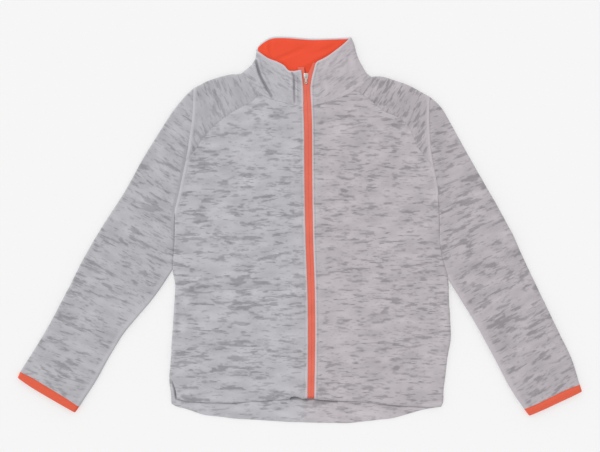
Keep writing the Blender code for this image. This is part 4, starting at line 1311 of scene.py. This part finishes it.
def slider_spot():
    """The slider's middle on top of the tapes."""
    top = float(rise(np.array(SLIDER_PLACE))) - FLEECE - LAY_GAP
    return SLIDER_PLACE[0] + ZIP_FOOT[0], SLIDER_PLACE[1] + ZIP_FOOT[1], top


def length_of(name, description, default):
    return bpy.props.FloatProperty(
        name=name, description=description, default=default, unit="LENGTH", precision=5
    )


def share_of(name, description, default):
    return bpy.props.FloatProperty(name=name, description=description, default=default, subtype="FACTOR")


def colour_of(name, description, default):
    return bpy.props.FloatVectorProperty(
        name=name, description=description, default=default, subtype="COLOR", size=3, min=0, max=1
    )


class JacketSizes(bpy.types.PropertyGroup):
    """Sizes of the cloth, its relief and its stitches."""

    fleece: length_of("Fleece", "Thickness of the fleece", FLEECE)
    facing: length_of("Collar facing", "Thickness of the collar's orange cloth", 0.0015)
    facing_inset: length_of("Collar facing inset", "From the collar's top to its orange cloth", 0.0028)
    lining_lift: length_of(
        "Lining lift", "How far the orange cloth bulges up inside the back collar", 0.0013
    )
    collar_roll: length_of(
        "Collar roll", "Width of the collar's top edge that is turned over inwards", 0.0038
    )
    tape: length_of("Zip tape", "Thickness of the zip tape", 0.0010)
    tape_crown: length_of("Zip crown", "How far the zip stands up between the fronts", 0.0015)
    crease: share_of("Creases", "How deep the creases are, of their listed depth", 2.2)
    rumple: share_of("Rumples", "How high the slow unevenness is, of its listed height", 2.0)
    hem_lift: length_of("Hem lift", "How far the front hem bulges off the back at the zip", 0.0050)
    stitch_pitch: length_of("Stitch pitch", "From one stitch to the next", 0.0033)
    stitch_length: length_of("Stitch length", "Length of one stitch", 0.0027)
    thread: length_of("Thread", "Thickness of the sewing thread", 0.0005)


class JacketColours(bpy.types.PropertyGroup):
    """Colours of the stuffs, and the size of the knit's streaks."""

    fleece_cool: colour_of(
        "Right fleece", "The fleece of the right half, between its streaks", (0.545, 0.536, 0.570)
    )
    fleece_warm: colour_of(
        "Left fleece", "The fleece of the left half, between its streaks", (0.556, 0.516, 0.545)
    )
    streak_shade: share_of(
        "Streak shade", "How dark the streaks are, as a share of the fleece round them", 0.50
    )
    facing: colour_of("Collar facing", "The cloth inside the collar", (0.87, 0.088, 0.038))
    binding: colour_of("Binding", "The binding of the cuffs", (0.80, 0.13, 0.07))
    tape: colour_of("Zip tape", "The tape of the zip", (0.76, 0.145, 0.095))
    plastic: colour_of("Zip box", "The moulded box of the zip", (0.62, 0.09, 0.05))
    metal: colour_of("Metal", "The slider and its pull tab", (0.74, 0.71, 0.68))
    thread: colour_of("Thread", "The thread of the grey seams", (0.46, 0.45, 0.47))
    floor: colour_of("Floor", "The board that the jacket lies on", (0.88, 0.88, 0.88))
    streak_length: length_of("Streak length", "Mean length of the knit's streaks", 0.024)
    streak_thickness: length_of("Streak thickness", "Mean thickness of the knit's streaks", 0.0055)
    streak_wander: length_of("Streak wander", "How far the streaks wander up and down", 0.0055)
    course: length_of("Course", "Height of the knit's courses, which the streaks keep to", 0.0019)


class JACKET_OT_stage(bpy.types.Operator):
    """Sets the floor, the light and the camera above the jacket"""

    bl_idname = "jacket.stage"
    bl_label = "Stage"

    def execute(self, context):
        scene = context.scene
        mesh = bpy.data.meshes.new("floor")
        corners = [(x * FLOOR_HALF, y * FLOOR_HALF, -FLOOR_DROP) for y in (-1, 1) for x in (-1, 1)]
        mesh.from_pydata(corners, [], [(0, 1, 3, 2)])
        mesh.materials.append(finished("pale_floor"))
        floor = add_object("floor", mesh)

        world = bpy.data.worlds.new("studio")
        world.use_nodes = True
        background = world.node_tree.nodes["Background"]
        background.inputs["Color"].default_value = (1, 1, 1, 1)
        background.inputs["Strength"].default_value = ROOM_LIGHT
        scene.world = world
        for name, state, shadow in (("softbox", "EXCLUDE", True), ("floor_light", "INCLUDE", False)):
            lamp = bpy.data.lights.new(name, "SUN")
            lamp.energy = LAMP_LIGHT
            lamp.angle = LAMP_SPREAD
            lamp.use_shadow = shadow
            light = add_object(name, lamp)
            light.rotation_euler = LAMP_FROM.to_track_quat("Z", "Y").to_euler()
            lit = bpy.data.collections.new(name)
            lit.objects.link(floor)
            lit.collection_objects[0].light_linking.link_state = state
            light.light_linking.receiver_collection = lit

        lens = bpy.data.cameras.new("camera")
        lens.sensor_width = 36
        lens.lens = lens.sensor_width * CAMERA_AWAY / CAMERA_SEES
        camera = add_object("camera", lens)
        camera.location = (*CAMERA_OVER, CAMERA_AWAY + LAY_MIDDLE)
        scene.camera = camera
        scene.view_settings.view_transform = "Standard"
        return {"FINISHED"}


class JACKET_OT_back(bpy.types.Operator):
    """Makes the back, from the dropped tail to the back neck, with its sides turned up"""

    bl_idname = "jacket.back"
    bl_label = "Back"

    def execute(self, context):
        sizes = context.scene.jacket_sizes
        right, left = HALVES
        neck = Curve(BACK_NECK).part(right.joins["back_neck"], left.joins["back_neck"])
        middle = joined(neck, left.back_yoke_seam, 0.5)
        top = joined(turned(right.back_yoke_seam), middle, 1 / 3)
        sides = [half.side_edge(half.back_vent) for half in HALVES]
        columns = sections((0, 18), (0.04, 32), (1 / 3, 40), (2 / 3, 44), (1, 0))
        folds = {"start_fold": right.side_fold, "end_fold": left.side_fold}
        lay = Lay(patch(*sides, Curve(BACK_HEM), top), -1, columns, (1 / 3, 2 / 3), seam=True, **folds)
        alongs = sections((0, 14), (PATCH_VENT, 100), (PATCH_PIT, 44), (1, 0))
        cloth = [lay], alongs, {-1: lying(sizes, "tail")}, sizes.fleece
        put_cloth("back_panel", "grey_fleece", (), *cloth, sewn="far start end")
        return {"FINISHED"}


class JACKET_OT_fronts(bpy.types.Operator):
    """Makes both fronts, from the zip to the side and from the hem to the yoke"""

    bl_idname = "jacket.fronts"
    bl_label = "Fronts"

    def execute(self, context):
        sizes = context.scene.jacket_sizes
        columns = sections((0, 9), (0.034, 35), (PATCH_NECK, 52), (0.95, 13), (1, 0))
        alongs = sections((0, 20), (PATCH_VENT, 140), (PATCH_PIT, 60), (1, 0))
        for half in HALVES:
            lay = Lay(front_plan(half), 1, columns, (1, PATCH_NECK), end_fold=half.side_fold, seam=True)
            fading_and_painted_light = (Line(half.armhole), *ARMHOLE_FADE_AND_HIGHLIGHT), (Line(half.zip_edge), *EDGE_FADE_AND_HIGHLIGHT)
            cloth = [lay], alongs, {1: body_relief(sizes, half, "front")}, sizes.fleece
            put_cloth(f"front_{half.side}", "grey_fleece", fading_and_painted_light, *cloth, sewn="far end")
        return {"FINISHED"}


class JACKET_OT_yokes(bpy.types.Operator):
    """Makes both shoulder yokes, each folded over the shoulder"""

    bl_idname = "jacket.yokes"
    bl_label = "Shoulder yokes"

    def execute(self, context):
        sizes = context.scene.jacket_sizes
        columns, alongs = np.linspace(0, 1, 40), np.linspace(0, 1, 60)
        for half in HALVES:
            joins = half.joins
            back_neck = Curve(BACK_NECK).part(joins["back_neck"], 0 if half.side == "right" else 1)
            armhole = half.armhole.part(joins["armhole"], 1)
            front = patch(half.yoke_seam, half.shoulder, half.neck.part(joins["neck"], 1), armhole)
            back = patch(half.back_yoke_seam, half.shoulder, back_neck, armhole)
            lays = [
                Lay(front, 1, columns, end_fold=whole_fold),
                Lay(other_way(back), -1, columns, start_fold=whole_fold),
            ]
            reliefs = {1: body_relief(sizes, half, "yoke"), -1: lying(sizes)}
            fading_and_painted_light = [(Line(half.armhole), *ARMHOLE_FADE_AND_HIGHLIGHT)]
            cloth = lays, alongs, reliefs, sizes.fleece
            put_cloth(f"yoke_{half.side}", "grey_fleece", fading_and_painted_light, *cloth, sewn="near far start end")
        return {"FINISHED"}


class JACKET_OT_sleeves(bpy.types.Operator):
    """Makes both sleeves, from the armhole to the cuff"""

    bl_idname = "jacket.sleeves"
    bl_label = "Sleeves"

    def execute(self, context):
        sizes = context.scene.jacket_sizes
        columns, alongs = np.linspace(0, 1, 54), np.linspace(0, 1, 220)
        for half in HALVES:
            node = f"sleeve_{half.side}"
            reliefs = {1: Relief(sizes, node, half.seams(node), UPPER_SEED), -1: lying(sizes)}
            fading_and_painted_light = [(Line(half.sleeve_inner), *UNDERARM_FADE_AND_HIGHLIGHT)]
            cloth = tube_lays(sleeve_plan(half), columns), alongs, reliefs, sizes.fleece
            put_cloth(node, "grey_fleece", fading_and_painted_light, *cloth, closed=True, sewn="near far")
        return {"FINISHED"}


class JACKET_OT_cuffs(bpy.types.Operator):
    """Makes the binding round the end of each sleeve"""

    bl_idname = "jacket.cuffs"
    bl_label = "Cuff bindings"

    def execute(self, context):
        sizes = context.scene.jacket_sizes
        for half in HALVES:
            line = Line(half.cuff, 24)

            def plan(across, along):
                along = np.asarray(along, float)[..., None]
                return (1 - along) * half.cuff(across) + along * half.cuff_end(across)

            def relief(places):
                away, along = line.measure(places)
                crown = BINDING_CROWN * np.sin(np.clip(away / BINDING_WIDTH, 0, 1) * math.pi) ** 0.7
                ribs = BINDING_RIBS * np.sin(along * 2 * math.pi / BINDING_RIB_PITCH)
                seam = BINDING_CROWN * hump(away, BINDING_SEAM_AT, BINDING_SEAM_WIDTH)
                return crown + ribs - seam

            lays = tube_lays(plan, np.linspace(0, 1, 170))
            cloth = lays, np.linspace(0, 1, 15), {1: relief, -1: flat}, sizes.fleece
            node = f"cuff_binding_{half.side}"
            put_cloth(node, "orange_binding", (), *cloth, closed=True, sewn="near")
        return {"FINISHED"}


class JACKET_OT_collar(bpy.types.Operator):
    """Makes the grey outer collar and the orange one inside it"""

    bl_idname = "jacket.collar"
    bl_label = "Collar"

    def execute(self, context):
        sizes = context.scene.jacket_sizes
        right, left = HALVES
        back_top = Curve(BACK_COLLAR_TOP)
        front = collar_relief(sizes)
        rim = joined(joined(turned(right.collar_top), left.collar_top, 0.5), turned(back_top), 0.5)
        fading_and_painted_light = [(Line(rim, 120), *RIM_FADE_AND_HIGHLIGHT)]
        fading_and_painted_light += [(Line(half.collar_edge), *EDGE_FADE_AND_HIGHLIGHT) for half in HALVES]
        lays = collar_lays(sections((0, 14), (0.11, 90), (1, 0)))
        cloth = lays, sections((0, 42), (0.92, 16), (1, 0)), {1: front, -1: flat}, sizes.fleece
        roll = sizes.collar_roll, sizes.collar_roll / 2
        put_cloth("collar_outer", "grey_fleece", fading_and_painted_light, *cloth, sewn="near", roll=roll)

        inside = Relief(sizes, "lining", seed=UPPER_SEED)
        back_line = Line(back_top)
        front_tops = Curve(right.places["collar_top"][::-1] + left.places["collar_top"]).points

        def lining_front(places):
            return soft_clip(front(places) * LINING_FOLLOWS - LINING_SINKS, *LINING_FRONT_STAYS)

        def lining_back(places):
            above = places[..., 1] - np.interp(places[..., 0], front_tops[:, 0], front_tops[:, 1])
            lift = ease(back_line.measure(places)[0], *LINING_LIFTS_BELOW)
            lift *= sizes.lining_lift * ease(above, *LINING_LIFTS_ABOVE)
            return soft_clip(-inside(places) - lift, *LINING_BACK_STAYS)

        lays = collar_lays(np.linspace(0, 1, 57), COLLAR_LINING_START)
        alongs = np.linspace(0, 1 - sizes.facing_inset / COLLAR_HEIGHT, 44)
        cloth = lays, alongs, {1: lining_front, -1: lining_back}, sizes.facing
        below = sizes.fleece + COLLAR_GAP
        put_cloth("collar_inner", "orange_fleece", (), *cloth, below=below, sewn="near")
        return {"FINISHED"}


class JACKET_OT_zip_tapes(bpy.types.Operator):
    """Makes both zip tapes, flat ones that stand up a little between the fronts"""

    bl_idname = "jacket.zip_tapes"
    bl_label = "Zip tapes"

    def execute(self, context):
        sizes = context.scene.jacket_sizes
        columns = sections((0, 6), (0.60, 4), (0.80, 2), (1, 0))
        for half in HALVES:
            clear = half.away * TAPES_APART / 2
            inner = Curve([(x + clear, y) for x, y in ZIP_LINE] + list(TAPE_ENDS[half.side]))

            def plan(across, along):
                across, along = np.asarray(across, float), np.asarray(along, float)
                cut = ease(across, *TAPE_CUT_ACROSS) * (1 - ease(along, *TAPE_CUT_ALONG))
                aside = half.away * across * TAPE_WIDTH
                return inner(along) + np.stack([aside, TAPE_FOOT_CUT * cut], axis=-1)

            def relief(places):
                x, y = places[..., 0], places[..., 1]
                aside = half.away * (x - np.interp(y, inner.points[:, 1], inner.points[:, 0]))
                crown = (1 - ease(aside, *CROWN_FALLS_OVER)) * (1 - ease(y, *ZIP_SINKS_OVER))
                crown *= ease(y, -0.001, HEM_CURLS_OVER)
                lift = sizes.hem_lift * hem_bulge(places)
                return sizes.tape_crown * crown + lift + rumpled(places, UPPER_SEED) * sizes.rumple

            cloth = [Lay(plan, 1, columns)], np.linspace(0, 1, 500), {1: relief}, sizes.tape
            below = sizes.fleece + LAY_GAP
            put_cloth(f"zip_tape_{half.side}", "orange_zip", (), *cloth, below=below, sewn="start")
        return {"FINISHED"}


class JACKET_OT_zip_box(bpy.types.Operator):
    """Makes the moulded box that holds the foot of the zip together"""

    bl_idname = "jacket.zip_box"
    bl_label = "Zip box"

    def execute(self, context):
        low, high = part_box("zip_box")
        middle = (low + high) / 2
        wide, long, thick = high - low
        solids = [plate([rounded_box(wide, long, corner=0.0012)], thick, bevel=0.0004, place=middle)]
        for number in (-1, 0, 1):
            place = middle + Vector((0, number * RIB_PITCH, thick / 2 + 0.0001))
            rib = rounded_box(wide * 0.62, 0.0008, corner=0.0003)
            solids.append(plate([rib], thick=0.0007, bevel=0.0002, place=place))
        mesh = combined("zip_box", solids)
        put("zip_box_moulded", mesh, "orange_plastic", nodes=["zip_box"])
        return {"FINISHED"}


class JACKET_OT_slider(bpy.types.Operator):
    """Makes the zip slider: a plate over the tapes and one under them, and the bail on top"""

    bl_idname = "jacket.slider"
    bl_label = "Zip slider"

    def execute(self, context):
        x, y, top = slider_spot()
        half, end = SHIELD_WIDTH / 2, SHIELD_LENGTH / 2
        right = [(half - 0.0021, -end), (half - 0.0013, -end + 0.0008), (half, end - 0.0050)]
        right += [(half, end - 0.0012), (half - 0.0012, end)]
        left = mirrored(right)
        shield = left[2:] + right + left[:2]
        upper = plate([shield], thick=0.0013, bevel=0.00035, place=(x, y, top + SEAM_GAP + 0.00065))
        below = (x, y, top - 0.0010 - SEAM_GAP - 0.00045)
        lower = plate([shield], thick=0.0009, bevel=0.0003, place=below)
        post = rounded_box(0.0016, 0.0024, corner=0.0005)
        post = plate([post], thick=0.0030, bevel=0.0001, place=(x, y + end - 0.0014, top - 0.0003))
        turns = np.linspace(0, math.pi / 2, 6)
        arches = []
        for reach, crown, bend in BAIL:
            leg = [(reach, -0.0004)]
            for a in turns:
                leg.append((reach - bend * (1 - math.cos(a)), crown - bend * (1 - math.sin(a))))
            arches.append(leg + mirrored(leg))
        roof = (x, y, top + SEAM_GAP + 0.0013)
        outline = arches[0] + arches[1][::-1]
        bail = plate([outline], thick=0.0015, bevel=0.0003, place=roof, upright=True)
        mesh = combined("zip_slider", [upper, lower, post, bail])
        put("zip_slider_metal", mesh, "zip_metal", nodes=["zip_slider"])
        return {"FINISHED"}


class JACKET_OT_pull_tab(bpy.types.Operator):
    """Makes the pull tab that hangs by its eye from the bail"""

    bl_idname = "jacket.pull_tab"
    bl_label = "Pull tab"

    def execute(self, context):
        joint = next(row for row in frame["joints"] if row["name"] == "pull_tab_hinge")
        half, head = TAB_WIDTH / 2, TAB_HEAD
        foot = head - TAB_LENGTH + half
        shoulder = head - 0.0048
        right = [(half - 0.0005, head), (half, head - 0.0005), (half, shoulder)]
        right.append((half - 0.0006, shoulder - 0.0020))
        tip = [(half * math.cos(a), foot + half * math.sin(a)) for a in np.linspace(0, -math.pi, 13)]
        eye = rounded_box(0.0025, 0.0048, 0.0006, (0, -0.0006 - 0.0024))
        slot = rounded_box(0.0018, 0.0026, 0.0008, (0, foot + 0.0002))
        outline = right + tip + mirrored(right)
        tab = plate([outline, eye, slot], thick=0.0012, bevel=0.0003, place=joint["pos_m"])
        mesh = combined("pull_tab", [tab])
        put("pull_tab_metal", mesh, "zip_metal", "pull_tab", ["pull_tab"])
        return {"FINISHED"}


class JACKET_OT_stitches(bpy.types.Operator):
    """Sews the stitches beside the zip, on up the collar's front edges, and round the armholes"""

    bl_idname = "jacket.stitches"
    bl_label = "Stitches"

    def execute(self, context):
        sizes = context.scene.jacket_sizes
        collar = collar_relief(sizes)
        for half in HALVES:
            aside = -half.away * STITCHES_BESIDE
            front, yoke = (body_relief(sizes, half, piece) for piece in ("front", "yoke"))
            share, at = half.zip_edge.share_at(half.neck(0)[1]), half.joins["armhole"]
            paths = [
                on_top(beside(half.zip_edge, aside, 0.004, share - 0.012, 400), front),
                on_top(beside(half.collar_edge, aside, 0.06, 0.93, 120), collar),
            ]
            stitched(f"zip_stitches_{half.side}", paths, sizes)
            paths = [
                on_top(beside(half.armhole, -aside, 0.03, at - 0.01), front),
                on_top(beside(half.armhole, -aside, at + 0.01, 0.97), yoke),
            ]
            stitched(f"armhole_stitches_{half.side}", paths, sizes)
        return {"FINISHED"}


class JACKET_PT_build(bpy.types.Panel):
    """The jacket's pieces, sizes and colours"""

    bl_label = "Fleece zip jacket"
    bl_space_type = "VIEW_3D"
    bl_region_type = "UI"
    bl_category = "Jacket"

    def draw(self, context):
        for operator in OPERATORS:
            self.layout.operator(operator.bl_idname)
        for group in (context.scene.jacket_sizes, context.scene.jacket_colours):
            box = self.layout.box()
            for name in group.__annotations__:
                box.prop(group, name)


OPERATORS = (
    JACKET_OT_stage,
    JACKET_OT_back,
    JACKET_OT_fronts,
    JACKET_OT_yokes,
    JACKET_OT_sleeves,
    JACKET_OT_cuffs,
    JACKET_OT_collar,
    JACKET_OT_zip_tapes,
    JACKET_OT_zip_box,
    JACKET_OT_slider,
    JACKET_OT_pull_tab,
    JACKET_OT_stitches,
)
CLASSES = (JacketSizes, JacketColours, *OPERATORS, JACKET_PT_build)


def register():
    for made in CLASSES:
        bpy.utils.register_class(made)
    bpy.types.Scene.jacket_sizes = bpy.props.PointerProperty(type=JacketSizes)
    bpy.types.Scene.jacket_colours = bpy.props.PointerProperty(type=JacketColours)


def unregister():
    del bpy.types.Scene.jacket_colours
    del bpy.types.Scene.jacket_sizes
    for made in reversed(CLASSES):
        bpy.utils.unregister_class(made)


def main():
    register()
    for operator in OPERATORS:
        getattr(bpy.ops.jacket, operator.bl_idname.partition(".")[2])()


if __name__ == "__main__":
    main()
